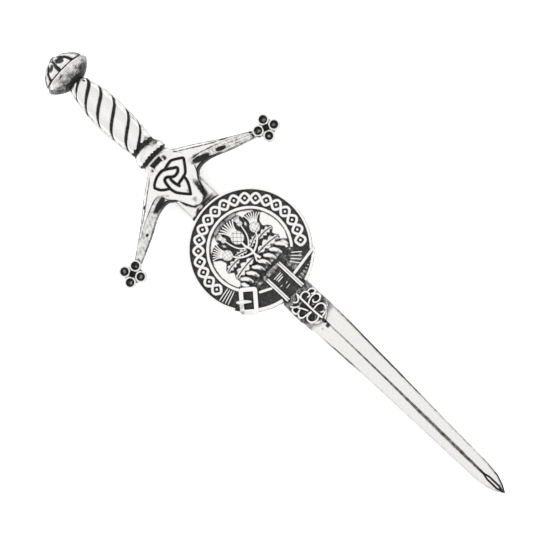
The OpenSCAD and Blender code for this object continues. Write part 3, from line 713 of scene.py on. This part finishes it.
def leaf(bm, at, turn, long, half, bend, tall):
    """A toothed leaf with a sunk midrib and side veins; bend curls it, in degrees over its length."""
    def shape(u, v):
        t = (u + 1) / 2
        a = np.abs(v)
        w = half * np.interp(t, TEETH[:, 0], TEETH[:, 1])
        way = np.radians(turn + bend * t)
        middle = np.radians(turn + bend * t / 2)
        x = at[0] + t * long * np.cos(middle) - v * w * np.sin(way)
        y = at[1] + t * long * np.sin(middle) + v * w * np.cos(way)
        vein = np.exp(-(a * w / 0.07) ** 2) * (t < 0.93)
        side = 0.5 * (1 + np.cos(2 * pi * (t * 5 - a * 1.1))) ** 3 / 4 * (a > 0.12) * (a < 0.8)
        full = 0.55 + 0.45 * np.sin(pi * np.clip(a, 0, 1) ** 0.8)
        z = tall * full * (1 - 0.35 * t) * (1 - 0.75 * smooth(0.82, 1.0, a)) - 0.16 * vein - 0.05 * side
        return x, TOP - S_BADGE - y, BADGE_BACK + PLATE_T + z, np.maximum(0.85 * vein, 0.45 * side)

    slab(bm, 66, 20, shape, BADGE_BACK + ROOT)


def thistle(bm, at, turn, d):
    """A thistle head: a scaly ball with a fan of bristles."""
    c, s = cos(radians(turn)), sin(radians(turn))

    def put(px, py):
        return at[0] + px * c - py * s, at[1] + px * s + py * c

    def ball(u, v):
        r = np.sqrt(np.clip(u * u + v * v - u * u * v * v, 0, 1))
        x, y = u * np.sqrt(1 - v * v / 2), v * np.sqrt(1 - u * u / 2)
        z = 0.78 * np.sqrt(np.clip(1 - r * r, 0, 1)) ** 0.8 * min(1.0, d / 2)
        one, other = np.abs(np.sin(4.2 * (x + y))), np.abs(np.sin(4.2 * (x - y)))
        line = np.exp(-(np.minimum(one, other) / 0.22) ** 2) * (r < 0.9)
        wx, wy = put(x * 0.5 * d, y * 0.48 * d)
        return wx, TOP - S_BADGE - wy, BADGE_BACK + PLATE_T + z + 0.05 * one * other, 0.85 * line

    slab(bm, 34, 34, ball, BADGE_BACK + ROOT)
    along = np.linspace(0, 1, 7)
    for k in range(-3, 4):
        tip = (1.22 - 0.05 * abs(k)) * d
        path = [badge(*put(0.3 * d + (tip - 0.3 * d) * t, k * (0.085 + 0.13 * t * t) * d), PLATE_T + 0.05)
                for t in along]
        size = [(0.085 * d * (1 - 0.3 * t), 0.5 * (1 - 0.35 * t)) for t in along]
        sweep(bm, path, size, steps=10, flat=0.85)


def sprig():
    """A plant of thistle heads and toothed leaves, rising from the wreath."""
    bm = bmesh.new()

    def stem(points, w, h=0.55):
        path = curve_through([badge(x, y, PLATE_T - 0.02) for x, y in points], 5)
        size = [(w * (1 - 0.3 * i / len(path)), h) for i in range(len(path))]
        sweep(bm, path, size, steps=12, flat=0.85, square=0.85)

    stem([(0.3, 2.35), (0.05, 1.2), (0.2, 0.1), (-0.1, -1.0), (0.0, -2.2)], 0.37, 0.62)
    stem([(-0.55, 2.35), (-0.25, 1.7), (0.1, 1.1)], 0.28)
    thistle(bm, (0.0, -2.95), -90, 2.65)
    for e in (-1, 1):
        def way(angle, e=e):
            return angle if e > 0 else 180 - angle

        stem([(0.1, 0.85), (1.3 * e, 0.35), (2.3 * e, -0.4), (2.95 * e, -1.4)], 0.3, 0.58)
        thistle(bm, (3.35 * e, -2.05), way(-58), 2.15)
        stem([(0.1, -0.4), (0.95 * e, -1.2), (1.55 * e, -2.3), (1.9 * e, -3.9)], 0.22, 0.5)
        thistle(bm, (1.98 * e, -4.35), way(-80), 1.15)
        leaf(bm, (0.5 * e, 1.5), way(-6), 4.7, 1.15, 22 * e, 0.6)
        leaf(bm, (0.3 * e, -0.1), way(-30), 2.5, 0.7, 18 * e, 0.5)
        leaf(bm, (2.3 * e, -0.1), way(-14), 3.2, 0.85, 34 * e, 0.5)
    piece("sprig", bm, "crest_badge", 50)


BUCKLE_AT, BUCKLE_TURN = (-6.4, 5.95), -48
BUCKLE_LONG, BUCKLE_WIDE, BUCKLE_CORNER = 1.9, 1.22, 0.2


def buckle():
    """A square frame with its tongue lying across."""
    bm = bmesh.new()
    c, s = cos(radians(BUCKLE_TURN)), sin(radians(BUCKLE_TURN))

    def put(x, y, z):
        return badge(BUCKLE_AT[0] + x * c - y * s, BUCKLE_AT[1] + x * s + y * c, z)

    k = BUCKLE_CORNER
    l, w = BUCKLE_LONG - k, BUCKLE_WIDE - k
    path = []
    for cx, cy, a0 in ((l, w, 0), (-l, w, 90), (-l, -w, 180), (l, -w, 270)):
        path += [put(x, y, ROOT) for x, y in arc(cx, cy, k, a0, a0 + 90, 5)]
    sweep(bm, path, (0.46, 0.93), steps=16, flat=0.8, closed=True, square=0.7)
    tongue_x, hinge_y = -0.185, -2.05
    tongue = curve_through([put(tongue_x, hinge_y, 1.5), put(tongue_x, -1.3, 1.78), put(-0.16, -0.4, 1.6),
                            put(-0.2, 0.35, 1.35)], 4)
    size = [(0.26 + 0.14 * sin(pi * min(1, i / 11)), 0.28) for i in range(len(tongue))]
    sweep(bm, tongue, size, steps=12)
    sweep(bm, [put(tongue_x, hinge_y, ROOT), put(tongue_x, -1.5, ROOT)], (0.3, 0.7), steps=10, flat=0.8)
    piece("buckle", bm, "crest_badge")


def strap():
    """The strap's raised borders, its tail's borders and marks, and the stitches by the buckle."""
    bm = bmesh.new()

    def bar(p, q, w, top, n=6):
        points = [badge(p[0] + (q[0] - p[0]) * i / n, p[1] + (q[1] - p[1]) * i / n, ROOT)
                  for i in range(n + 1)]
        full = [1.0] * (n + 1)
        full[0] = full[-1] = 0.75
        size = [(w / 2 * m, (top - ROOT) / 0.8 * min(1.0, m + 0.1)) for m in full]
        sweep(bm, points, size, steps=14, flat=0.8, square=0.72)

    def stitches(first, step, lean, r0, r1, top):
        for i in range(4):
            a = radians(first + step * i)
            bar((r0 * cos(a), r0 * sin(a)), (r1 * cos(a + lean), r1 * sin(a + lean)), 0.26, top)

    # The tail hangs down the middle, with a double border each side and a few worn marks between
    for e in (-1, 1):
        for line in (-0.19, 0.19):
            x = e * 1.72 + line
            bar((x + 0.02, 5.15 + 0.3 * (1 - e)), (x + 0.08, 10.9), 0.42, 1.775, n=10)
    for y, a, b, w, top in (
            (6.6, -0.9, 0.84, 0.23, 1.5), (6.98, -0.7, 0.86, 0.23, 1.5), (7.34, -0.66, 0.6, 0.23, 1.38),
            (8.28, -1.0, -0.5, 0.17, 1.38), (9.12, -0.42, 0.5, 0.17, 1.38), (8.5, 0.1, 0.55, 0.17, 1.38)):
        bar((a, y), (b, y - 0.04), w, top)
    # The strap's ends pass behind the tail
    edge = [badge(x, y, ROOT) for x, y in arc(0, 0, RIM_R - 0.3, 128, 103, 12)]
    sweep(bm, edge, (0.3, 0.75), steps=14, flat=0.8, square=0.72)
    bar((-4.2, 6.25), (-2.1, 7.4), 0.52, 1.62)
    bar((1.95, 8.4), (7.9, 7.7), 0.54, 1.65, n=8)
    edge = [badge(x, y, 0.55) for x, y in arc(0, 0, RIM_R + 0.08, 75, 43, 12)]
    sweep(bm, edge, (0.3, 0.72), steps=12, flat=0.9)
    for i in range(6):
        bar((2.5 + 0.6 * i, 9.2 - 0.06 * i), (2.62 + 0.62 * i, 9.95 - 0.2 * i), 0.15, 1.36)
    stitches(156.5, 3.1, 0.02, 7.62, 10.1, 1.54)
    stitches(50.5, 4.2, -0.03, 7.15, 9.0, 1.52)
    piece("strap_borders", bm, "crest_badge")


# ---- the strap's scrolled end ----

END_LONG, END_HALF = 6.95, 2.95
# Its outline: share of its length, half width as a share of the widest
END = np.array([[-0.08, 0.78], [0.02, 0.98], [0.3, 1.0], [0.62, 1.0], [0.78, 0.8], [0.95, 0.34], [1.0, 0.06]])
# The hollows between the scrolls: x, distance from the scroll end's top, radius
HOLES = [
    (-2.2, 2.21, 0.36), (-1.69, 3.3, 0.52), (-1.07, 5.05, 0.52), (0.63, 1.69, 0.4), (2.2, 1.96, 0.36),
    (1.75, 3.2, 0.52), (1.04, 4.98, 0.54), (-0.55, 2.4, 0.4), (-0.5, 3.5, 0.4), (0.5, 3.95, 0.3),
    (0.4, 2.5, 0.3)]
# The scrolls: x, and distance from the scroll end's top
SPINE = [(-0.05, 0.3), (-0.09, 1.34), (-0.09, 2.9), (-0.09, 4.46), (0.0, 5.82), (0.12, 6.6)]
SCROLLS = [
    [(-1.51, 0.91), (-1.16, 1.37), (-0.58, 1.34), (-0.1, 0.6)],
    [(-2.39, 1.1), (-1.88, 1.82), (-1.2, 2.21)],
    [(-1.65, 2.21), (-1.16, 2.9), (-0.75, 3.87)],
    [(-1.88, 1.63), (-2.45, 1.7), (-2.66, 2.25), (-2.45, 2.8), (-1.85, 2.7)],
    [(-1.5, 2.62), (-2.2, 2.9), (-2.58, 3.44), (-2.27, 3.97), (-1.36, 4.16), (-0.5, 4.25)],
    [(-0.5, 4.42), (-1.4, 4.38), (-1.95, 4.8), (-1.85, 5.5), (-1.26, 5.95), (-0.55, 5.95), (-0.05, 5.63)],
    [(-0.05, 1.43), (0.45, 1.05), (1.2, 1.15), (1.5, 1.7), (1.28, 2.21), (0.75, 2.1)],
    [(1.5, 1.5), (2.15, 1.45), (2.62, 1.92), (2.5, 2.4), (2.0, 2.38), (1.67, 2.15)],
    [(-0.05, 3.19), (0.55, 2.8), (1.4, 2.56), (2.25, 2.74), (2.5, 3.35), (2.06, 3.91), (1.35, 3.85),
     (0.95, 3.4), (1.3, 3.05)],
    [(0.0, 4.32), (1.2, 4.26), (1.85, 4.75), (1.75, 5.5), (1.15, 5.85), (0.5, 5.5)],
    [(1.7, 5.6), (0.9, 6.1), (0.2, 6.2)],
]


def scroll_end():
    """The tail's end: a shield-shaped plate, and the wire-like scrolls on it."""
    bm = bmesh.new()

    def shape(u, v):
        t = END[0, 0] + (u + 1) / 2 * (1 - END[0, 0])
        half = END_HALF * np.interp(t, END[:, 0], END[:, 1])
        a = np.abs(v)
        x = np.sign(v) * np.where(a < 0.85, a / 0.85 * half * 0.93, half * (0.93 + (a - 0.85) / 0.15 * 0.07))
        y = t * END_LONG
        hole = np.zeros_like(x)
        for cx, cy, r in HOLES:
            hole = np.maximum(hole, 1 - smooth(r * 0.7, r * 1.1, np.hypot(x - cx, y - cy)))
        z = 1.05 - 0.3 * smooth(0.86, 1.0, a) - 0.22 * hole
        dark = np.maximum(hole, 0.66 - 0.36 * smooth(0.72, 0.9, t) - 0.12 * smooth(0.8, 1, a))
        return x, TOP - S_BADGE - RIM_R - y, BADGE_BACK + z, dark

    slab(bm, 90, 60, shape, BADGE_BACK)
    piece("scroll_plate", bm, "crest_badge")

    bm = bmesh.new()

    def wire(points, w):
        path = curve_through([badge(x + 0.1, RIM_R + y, 0.95) for x, y in points])
        n = len(path) - 1
        full = [min(1.0, 0.6 + 4 * min(i, n - i) / n) for i in range(n + 1)]
        sweep(bm, path, [(w * k, 0.8 * (0.7 + 0.3 * k)) for k in full], steps=12, flat=0.85, square=0.85)

    wire(SPINE, 0.27)
    for points in SCROLLS:
        wire(points, 0.21)
    piece("scrolls", bm, "crest_badge")


pommel()
grip()
collar()
arms()
knot_plate()
block()
quatrefoil(-1, "quatrefoil_left")
quatrefoil(1, "quatrefoil_right")
blade()
roundel()
plait()
wreath()
keeper()
sprig()
buckle()
strap()
scroll_end()


# ---- the dark that the polishing wheel leaves, and painted shade ----

# A height map of the pin seen from above: its corner, its cells' size and how many there are
LOW_X, LOW_Y, CELL, WIDE, LONG = -19.6, -54.3, 0.08, 490, 1358
# Blurs that stand for the wheel, and for the cloth that reaches a little deeper
WHEEL, CLOTH = 0.6, 0.26


def cells(x, y):
    """The cells of the height map that points fall in."""
    return ((x - LOW_X) / CELL).astype(int), ((y - LOW_Y) / CELL).astype(int)


def places(mesh):
    """A mesh's points in millimetres, one to a row."""
    out = np.empty(len(mesh.vertices) * 3)
    mesh.vertices.foreach_get("co", out)
    return out.reshape(-1, 3) / MM


def sampled(co, tri, step=0.07):
    """Points spread over triangles, close enough to fill every cell of the height map."""
    a, b, c = co[tri[:, 0]], co[tri[:, 1]], co[tri[:, 2]]
    longest = np.maximum.reduce([np.hypot(*(p - q)[:, :2].T) for p, q in ((a, b), (b, c), (c, a))])
    n = np.clip(np.ceil(longest / step).astype(int), 1, 400)
    for k in np.unique(n):
        pick = n == k
        i, j = np.meshgrid(np.arange(k + 1), np.arange(k + 1))
        keep = i + j <= k
        i, j = i[keep] / k, j[keep] / k
        yield (a[pick, None] * (1 - i - j)[None, :, None] + b[pick, None] * i[None, :, None]
               + c[pick, None] * j[None, :, None]).reshape(-1, 3)


def height_map(objects):
    """The highest point in each cell, and a very low number where there is none."""
    top = np.full((WIDE, LONG), -1e3)
    for o in objects:
        mesh = o.data
        mesh.calc_loop_triangles()
        co = places(mesh)
        tri = np.empty(len(mesh.loop_triangles) * 3, np.int32)
        mesh.loop_triangles.foreach_get("vertices", tri)
        tri = tri.reshape(-1, 3)
        up = np.cross(co[tri[:, 1]] - co[tri[:, 0]], co[tri[:, 2]] - co[tri[:, 0]])[:, 2]
        for p in sampled(co, tri[up > 1e-9]):
            np.maximum.at(top, cells(p[:, 0], p[:, 1]), p[:, 2])
    return top


def spread(grid, sigma):
    """A soft blur of a grid, sigma in millimetres."""
    reach = int(3 * sigma / CELL)
    k = np.exp(-0.5 * (np.arange(-reach, reach + 1) * CELL / sigma) ** 2)
    k /= k.sum()
    for axis in (0, 1):
        pad = [(reach, reach) if a == axis else (0, 0) for a in (0, 1)]
        wide = np.pad(grid, pad)
        n = grid.shape[axis]
        grid = sum(w * np.take(wide, range(i, i + n), axis) for i, w in enumerate(k))
    return grid


# Dark stains, and a few marks of painted shade: x, station, half length, half width, slant in degrees, strength
STAINS_AND_SHADES = [
    # the guard's arms; the two faint long ones above the black patches are painted shade of a hollow
    (-5.3, 31.36, 1.6, 0.49, -14, 1.5), (5.5, 30.97, 1.7, 0.49, 18, 1.5), (9.05, 32.25, 1.0, 0.38, 30, 1.4),
    (-7.35, 29.75, 0.4, 0.22, -35, 1.1), (-10.4, 33.35, 0.34, 0.22, -20, 1.1),
    (10.65, 31.45, 0.9, 0.26, 28, 1.1), (-4.3, 30.6, 1.6, 0.35, 10, 0.5), (4.6, 29.9, 1.8, 0.35, 4, 0.5),
    (-3.2, 31.3, 0.5, 0.25, 60, 0.55), (13.0, 33.2, 2.2, 0.18, 24, 0.5), (-12.5, 32.9, 2.0, 0.15, -26, 0.42),
    # the arms' ends and the quatrefoils
    (14.5, 33.9, 0.3, 0.45, 0, 1.1), (14.4, 34.7, 0.22, 0.4, 0, 1.0), (14.9, 35.7, 0.55, 0.22, 45, 1.0),
    (-14.9, 34.45, 0.3, 0.16, 0, 0.9), (-14.2, 36.0, 0.34, 0.2, -20, 1.0), (-15.3, 36.75, 0.34, 0.26, -30, 0.9),
    (-14.4, 35.2, 0.14, 0.6, 15, 0.6),
    # the langet and the blade beside it
    (1.75, 34.7, 0.62, 2.5, 10, 0.85), (0.9, 36.6, 1.9, 0.5, 0, 0.8), (-2.75, 37.2, 0.55, 0.28, 0, 1.1),
    (-1.5, 36.7, 0.9, 0.18, -20, 0.9), (-0.15, 35.2, 0.6, 0.6, 0, 0.57), (-0.1, 33.2, 0.25, 0.45, 0, 0.5),
    # the blade below the scrolls; the last, long and faint, is painted shadow under the scroll end
    (0.0, 65.6, 0.34, 0.42, 0, 1.1), (-0.22, 66.55, 0.42, 0.4, 0, 0.95), (-1.2, 66.3, 0.3, 0.4, 0, 0.5),
    (0.12, 66.2, 0.14, 0.5, 0, 0.9), (0.0, 65.4, 2.6, 0.5, 0, 0.4),
    # pommel, grip and collar; the faint ones on the cap's sides and the broad one on the collar's right are
    # painted shade
    (-1.1, 4.3, 0.8, 0.26, 0, 0.72), (0.0, 4.75, 0.4, 0.4, 0, 0.56), (3.0, 5.05, 0.8, 0.3, -30, 0.62),
    (1.25, 7.1, 0.17, 0.38, -15, 1.0), (-2.2, 2.2, 0.8, 0.6, 0, 0.4), (2.9, 2.6, 0.5, 0.6, 20, 0.36),
    (1.2, 21.9, 0.9, 0.35, -30, 0.5), (1.0, 23.1, 1.6, 0.35, 12, 0.6), (-1.2, 22.9, 1.0, 0.2, -8, 0.5),
    # the buckle's worn corner
    (-8.6, 54.6, 1.3, 0.36, 60, 0.6),
]


def badge_ground(x, y, z, near_sprig):
    """How dark the badge's ground is left, by where it lies on the badge."""
    r = np.hypot(x, y)
    turn = np.degrees(np.arctan2(y, x)) % 360
    ground = (1 - smooth(0.04, 0.2, z - PLATE_T)) * smooth(-0.3, -0.1, z - PLATE_T)
    band = smooth(RING_OUT - 0.1, RING_OUT + 0.1, r)
    loop = ((turn > 40) & (turn < 153) & (r > 4.6)) * smooth(4.4, 5.0, y)
    under = smooth(4.0, 4.4, y) * (1 - smooth(4.4, 5.4, np.abs(x)))
    among = smooth(0.2, 0.38, near_sprig) * (r < RING_IN)
    crown = smooth(5.3, 6.2, -y) * (r < RING_IN) * 0.62
    worn = (smooth(2.2, 2.8, x) * smooth(6.4, 5.0, x) * smooth(6.0, 6.8, y) * smooth(8.5, 8.1, y)
            * smooth(9.6, 8.8, r))
    hatch = smooth(40, 50, turn) * smooth(78, 72, turn) * smooth(8.9, 9.3, y)
    dark = np.maximum.reduce([0.88 * band, 0.74 * loop, 0.8 * under, 0.95 * among, crown])
    return ground * (1 - 0.3 * worn - 0.2 * hatch) * dark


def wreath_shade(x, y):
    """The black between the wreath's twists, and painted shade in the foot of each."""
    down = np.clip((y - WREATH_Y + TWIST_UP) / TWIST_TALL, 0, 1)
    across = (x - twist_x(2 / pi * np.arccos(1 - down)) + (TWISTS - 1) / 2 * PITCH) / PITCH
    phase = (across + 0.5) % 1 - 0.5
    gap = smooth(0.36, 0.46, np.abs(phase)) * (np.abs(x) < 4.9)
    foot = 0.6 * smooth(0.4, 0.6, down) * (1 - smooth(0.0, 0.14, phase)) * (np.abs(x) < 4.6)
    return np.maximum(gap, foot)


def stained_and_shaded(soot_and_shade, x, s):
    """The darkness with the stains and the marks of painted shade added."""
    for sx, ss, long, wide, slant, strong in STAINS_AND_SHADES:
        c, q = cos(radians(slant)), sin(radians(slant))
        u, v = (x - sx) * c + (s - ss) * q, -(x - sx) * q + (s - ss) * c
        soot_and_shade = np.maximum(soot_and_shade, strong * np.exp(-np.abs(u / long) ** 2.6 - np.abs(v / wide) ** 2.6))
    return soot_and_shade


def darken(objects):
    """Writes each piece's darkness, from 0 polished to 1 black, as an attribute of its points; it holds the
    black the wheel leaves and painted shade.
    """
    top = height_map(objects)
    relief = spread((height_map([o for o in objects if o.name == "sprig"]) > 0).astype(float), 0.42)
    known = (top > 0).astype(float)
    level = np.where(top > 0, top, 0)
    within = spread(known, CLOTH)
    fine = spread(level, CLOTH) / np.maximum(within, 1e-6)
    broad = spread(level, WHEEL) / np.maximum(spread(known, WHEEL), 1e-6)
    for o in objects:
        mesh = o.data
        n = len(mesh.vertices)
        x, y, z = places(mesh).T
        s = TOP - y
        here = cells(x, y)
        # Recesses: what lies under the blurred level, away from the outline
        soot_and_shade = np.clip(5.0 * (fine[here] - z - 0.03), 0, 1)
        soot_and_shade = np.maximum(soot_and_shade, np.clip(2.2 * (broad[here] - z - 0.08), 0, 1))
        soot_and_shade = soot_and_shade * smooth(0.72, 0.95, within[here])
        steep, flatter, wall = (0.8, 0.42, 0.6) if o.name == "pommel" else (0.55, 0.28, 0.48)
        if o.name == "blade":
            soot_and_shade = soot_and_shade * (1 - 0.6 * smooth(60, 62, s) - 0.4 * smooth(70, 72, s))
            soot_and_shade = soot_and_shade * (1 - 0.4 * np.exp(-(x / 1.3) ** 4 - ((s - 36.4) / 0.6) ** 4))
            soot_and_shade = soot_and_shade * (1 - 0.8 * smooth(2.2, 2.6, -x) - 0.4 * smooth(2.2, 2.6, x))
            # Painted shade on the blade's steep faces, weaker on its left side
            wall = np.where(x < 0, 0.2, 0.48)
        if o.name.startswith("quatrefoil"):
            soot_and_shade = soot_and_shade * (1 - 0.14 * (z - BACK < FOIL_H - CUP_DEEP + 0.05))
            middle = np.hypot(np.abs(x) - FOIL_X, s - S_GUARD - DROP + SKEW * x)
            soot_and_shade = np.maximum(soot_and_shade, 1.1 * np.exp(-(middle / 0.62) ** 6))
        # Side walls and steep slopes: painted shade for the dark reflections along the outline, over the black
        # the wheel misses there
        normal = np.empty(n * 3)
        mesh.vertices.foreach_get("normal", normal)
        soot_and_shade = np.maximum(soot_and_shade, wall * smooth(steep, flatter, np.abs(normal[2::3])))
        # Carved lines, tarnish and painted shade, as the piece was made with them
        pressed = mesh.attributes.get("pressed")
        if pressed:
            carved = np.empty(n)
            pressed.data.foreach_get("value", carved)
            soot_and_shade = np.maximum(soot_and_shade, carved)
            mesh.attributes.remove(pressed)
        if o.name == "badge_plate":
            soot_and_shade = np.maximum(soot_and_shade, badge_ground(x, s - S_BADGE, z - BADGE_BACK, relief[here]))
        if o.name == "wreath":
            soot_and_shade = np.maximum(soot_and_shade, wreath_shade(x, s - S_BADGE))
        soot_and_shade = stained_and_shaded(soot_and_shade, x, s)
        layer = mesh.attributes.new("soot_and_shade", "FLOAT", "POINT")
        layer.data.foreach_set("value", np.clip(soot_and_shade, 0, 1).astype(np.float32))


darken(PIECES)


# ---- finishes ----

def linear(colour):
    """sRGB hex to a linear colour."""
    parts = [int(colour[i:i + 2], 16) / 255 for i in (1, 3, 5)]
    return tuple(c / 12.92 if c <= 0.04045 else ((c + 0.055) / 1.055) ** 2.4 for c in parts) + (1.0,)


def spots(size):
    """The scale that makes a noise's spots about this size in millimetres, to the nearest hundred."""
    return round(1 / (size * MM), -2)


def add(tree, kind, into=None, **settings):
    """One node, with its settings, and its inputs as values or as sockets to link."""
    made = tree.nodes.new(kind)
    for name, value in settings.items():
        setattr(made, name, value)
    for name, value in (into or {}).items():
        if isinstance(value, bpy.types.NodeSocket):
            tree.links.new(value, made.inputs[name])
        else:
            made.inputs[name].default_value = value
    return made


def blank(name):
    """A material with an empty node tree."""
    made = bpy.data.materials.new(name)
    made.use_nodes = True
    made.node_tree.nodes.clear()
    return made, made.node_tree


# The outputs of a Mix node set to colours, and its inputs: factor, first and second colour
MIX, FACTOR, FIRST, SECOND = 2, 0, 6, 7


def pewter(name, bright, worn, dust, polish, ragged):
    """Cast pewter, blackened all over in a bath, then polished on a wheel.

    The eye sees near-white high faces with a soft gloss, and matt black in every recess, with a ragged
    edge between the two. The attribute says where the wheel didn't reach, and also carries painted shade
    on steep faces and along edges. The real grain of the casting is about 0.05 mm, too fine for the render,
    so it is drawn at about 0.2 mm.
    """
    made, t = blank(name)
    at = add(t, "ShaderNodeTexCoord").outputs["Object"]
    soot_and_shade = add(t, "ShaderNodeAttribute", attribute_name="soot_and_shade").outputs["Fac"]
    # Mottling of 0.3 mm and patches of 0.9 mm shift the soot's edge, ragged says how far
    mottle = add(t, "ShaderNodeTexNoise", {"Vector": at, "Scale": spots(0.295), "Detail": 4.0,
                                           "Roughness": 0.7}).outputs["Fac"]
    patch = add(t, "ShaderNodeTexNoise", {"Vector": at, "Scale": spots(0.9), "Detail": 3.0}).outputs["Fac"]
    both = add(t, "ShaderNodeMath", {0: mottle, 1: patch}, operation="ADD").outputs[0]
    shift = add(t, "ShaderNodeMath", {0: both, 1: ragged, 2: -ragged}, operation="MULTIPLY_ADD").outputs[0]
    level = add(t, "ShaderNodeMath", {0: soot_and_shade, 1: shift}, operation="ADD").outputs[0]
    black = add(t, "ShaderNodeMapRange", {"Value": level, "From Min": 0.2, "From Max": 0.8},
                interpolation_type="SMOOTHSTEP").outputs[0]
    # Dull specks in the black, and the casting's grain
    grain = add(t, "ShaderNodeTexNoise", {"Vector": at, "Scale": spots(0.193), "Detail": 3.0,
                                          "Roughness": 0.6}).outputs["Fac"]
    speck = add(t, "ShaderNodeMapRange", {"Value": grain, "From Min": 0.35, "From Max": 0.72}).outputs[0]
    clean = add(t, "ShaderNodeMix", {FACTOR: mottle, FIRST: linear(bright), SECOND: linear(worn)},
                data_type="RGBA").outputs[MIX]
    dirt = add(t, "ShaderNodeMix", {FACTOR: speck, FIRST: linear("#101011"), SECOND: linear(dust)},
               data_type="RGBA").outputs[MIX]
    colour = add(t, "ShaderNodeMix", {FACTOR: black, FIRST: clean, SECOND: dirt},
                 data_type="RGBA").outputs[MIX]
    rough = add(t, "ShaderNodeMapRange", {"Value": black, "To Min": polish, "To Max": 0.55}).outputs[0]
    # Soft waves of 1.4 mm, as a hand-held wheel leaves, 0.04 mm high, and the grain at 0.02 mm
    waves = add(t, "ShaderNodeTexNoise", {"Vector": at, "Scale": spots(1.4), "Detail": 2.0}).outputs["Fac"]
    soft = add(t, "ShaderNodeBump", {"Height": waves, "Strength": 0.25,
                                     "Distance": 0.04 * MM}).outputs["Normal"]
    bump = add(t, "ShaderNodeBump", {"Height": grain, "Strength": 0.35, "Distance": 0.02 * MM,
                                     "Normal": soft}).outputs["Normal"]
    shader = add(t, "ShaderNodeBsdfPrincipled", {"Base Color": colour, "Metallic": 1.0, "Roughness": rough,
                                                 "Normal": bump})
    add(t, "ShaderNodeOutputMaterial", {"Surface": shader.outputs[0]})
    return made


def nickel(name):
    """Bright nickel plate on drawn steel: a warm grey mirror, faintly clouded over about 1 mm."""
    made, t = blank(name)
    at = add(t, "ShaderNodeTexCoord").outputs["Object"]
    cloud = add(t, "ShaderNodeTexNoise", {"Vector": at, "Scale": spots(1.1), "Detail": 3.0}).outputs["Fac"]
    colour = add(t, "ShaderNodeMix", {FACTOR: cloud, FIRST: linear("#d2d0cb"), SECOND: linear("#bdbbb6")},
                 data_type="RGBA").outputs[MIX]
    rough = add(t, "ShaderNodeMapRange", {"Value": cloud, "To Min": 0.18, "To Max": 0.32}).outputs[0]
    shader = add(t, "ShaderNodeBsdfPrincipled", {"Base Color": colour, "Metallic": 1.0, "Roughness": rough})
    add(t, "ShaderNodeOutputMaterial", {"Surface": shader.outputs[0]})
    return made


# The hilt and guard, with ragged edges to the black; the blade, wheeled lengthwise, with cleaner ones;
# and the badge, a little brighter on its relief and dustier in its ground
PEWTER = {
    "sword": pewter("antiqued_polished_pewter_sword", "#e0dfdd", "#c9c8c6", "#464646", 0.2, 0.75),
    "blade": pewter("wheel_polished_pewter_blade", "#e0dfdd", "#c9c8c6", "#464646", 0.2, 0.4),
    "crest_badge": pewter("antiqued_polished_pewter_badge", "#e4e3e1", "#cfcecb", "#5c5c5c", 0.22, 0.75),
}
for o in PIECES:
    o.data.materials.append(PEWTER["blade" if o.name == "blade" else CASTING[o.name]])

NICKEL = nickel("nickel_plated_steel")
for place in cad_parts["brooch_pin"].material_slots:
    place.material = NICKEL


# ---- floor, light and camera ----

bm = bmesh.new()
bmesh.ops.create_grid(bm, x_segments=1, y_segments=1, size=1.5)
floor_mesh = bpy.data.meshes.new("floor")
bm.to_mesh(floor_mesh)
bm.free()
floor = bpy.data.objects.new("floor", floor_mesh)
bpy.context.scene.collection.objects.link(floor)
# Opal acrylic over a lamp: matt white with a weak glow of its own, which drowns the shadows
acrylic, t = blank("opal_acrylic_lightbox")
matt = add(t, "ShaderNodeBsdfPrincipled", {"Base Color": linear("#f6f6f6"), "Roughness": 0.9,
                                           "Emission Color": (1, 1, 1, 1), "Emission Strength": 0.42})
add(t, "ShaderNodeOutputMaterial", {"Surface": matt.outputs[0]})
floor_mesh.materials.append(acrylic)

# A white tent round the table, a little brighter overhead
world = bpy.data.worlds.new("studio")
world.use_nodes = True
world.node_tree.nodes.clear()
t = world.node_tree
way = add(t, "ShaderNodeSeparateXYZ", {0: add(t, "ShaderNodeTexCoord").outputs["Generated"]}).outputs["Z"]
tent = add(t, "ShaderNodeMapRange", {"Value": way, "From Min": 0.0, "From Max": 0.85, "To Min": 1.17,
                                     "To Max": 1.3}).outputs[0]
sky = add(t, "ShaderNodeBackground", {"Color": (1, 1, 1, 1), "Strength": tent})
add(t, "ShaderNodeOutputWorld", {"Surface": sky.outputs[0]})
bpy.context.scene.world = world
bpy.context.scene.view_settings.view_transform = "Standard"

lamp = bpy.data.lights.new("overhead", "AREA")
lamp.shape = "SQUARE"
lamp.size = 0.4
lamp.energy = 0.04
softbox = bpy.data.objects.new("overhead", lamp)
bpy.context.scene.collection.objects.link(softbox)
softbox.location = (-0.05, 0.1, 0.5)
softbox.rotation_euler = (-softbox.location).to_track_quat("-Z", "Y").to_euler()
softbox.visible_camera = False

# The picture's centre on the object, the camera's lean to the right and to the point, its distance,
# and the angle of the picture's upright to the guard
AIM = Vector((-0.00023, 0.00001, 0.0055))
LEAN_X, LEAN_Y = radians(2.0), radians(-7.5)
RANGE, UPRIGHT = 0.9925, radians(43.8)
lens = bpy.data.cameras.new("camera")
lens.lens = 381
lens.sensor_width = 36
lens.clip_start = 0.01
lens.clip_end = 10
camera = bpy.data.objects.new("camera", lens)
bpy.context.scene.collection.objects.link(camera)
back = Vector((sin(LEAN_X), sin(LEAN_Y), 0))
back.z = sqrt(1 - back.length_squared)
right = Vector((cos(UPRIGHT), sin(UPRIGHT), 0)).cross(back).normalized()
over = back.cross(right)
turn = Matrix((right, over, back)).transposed()
camera.matrix_world = Matrix.Translation(AIM + back * RANGE) @ turn.to_4x4()
bpy.context.scene.camera = camera
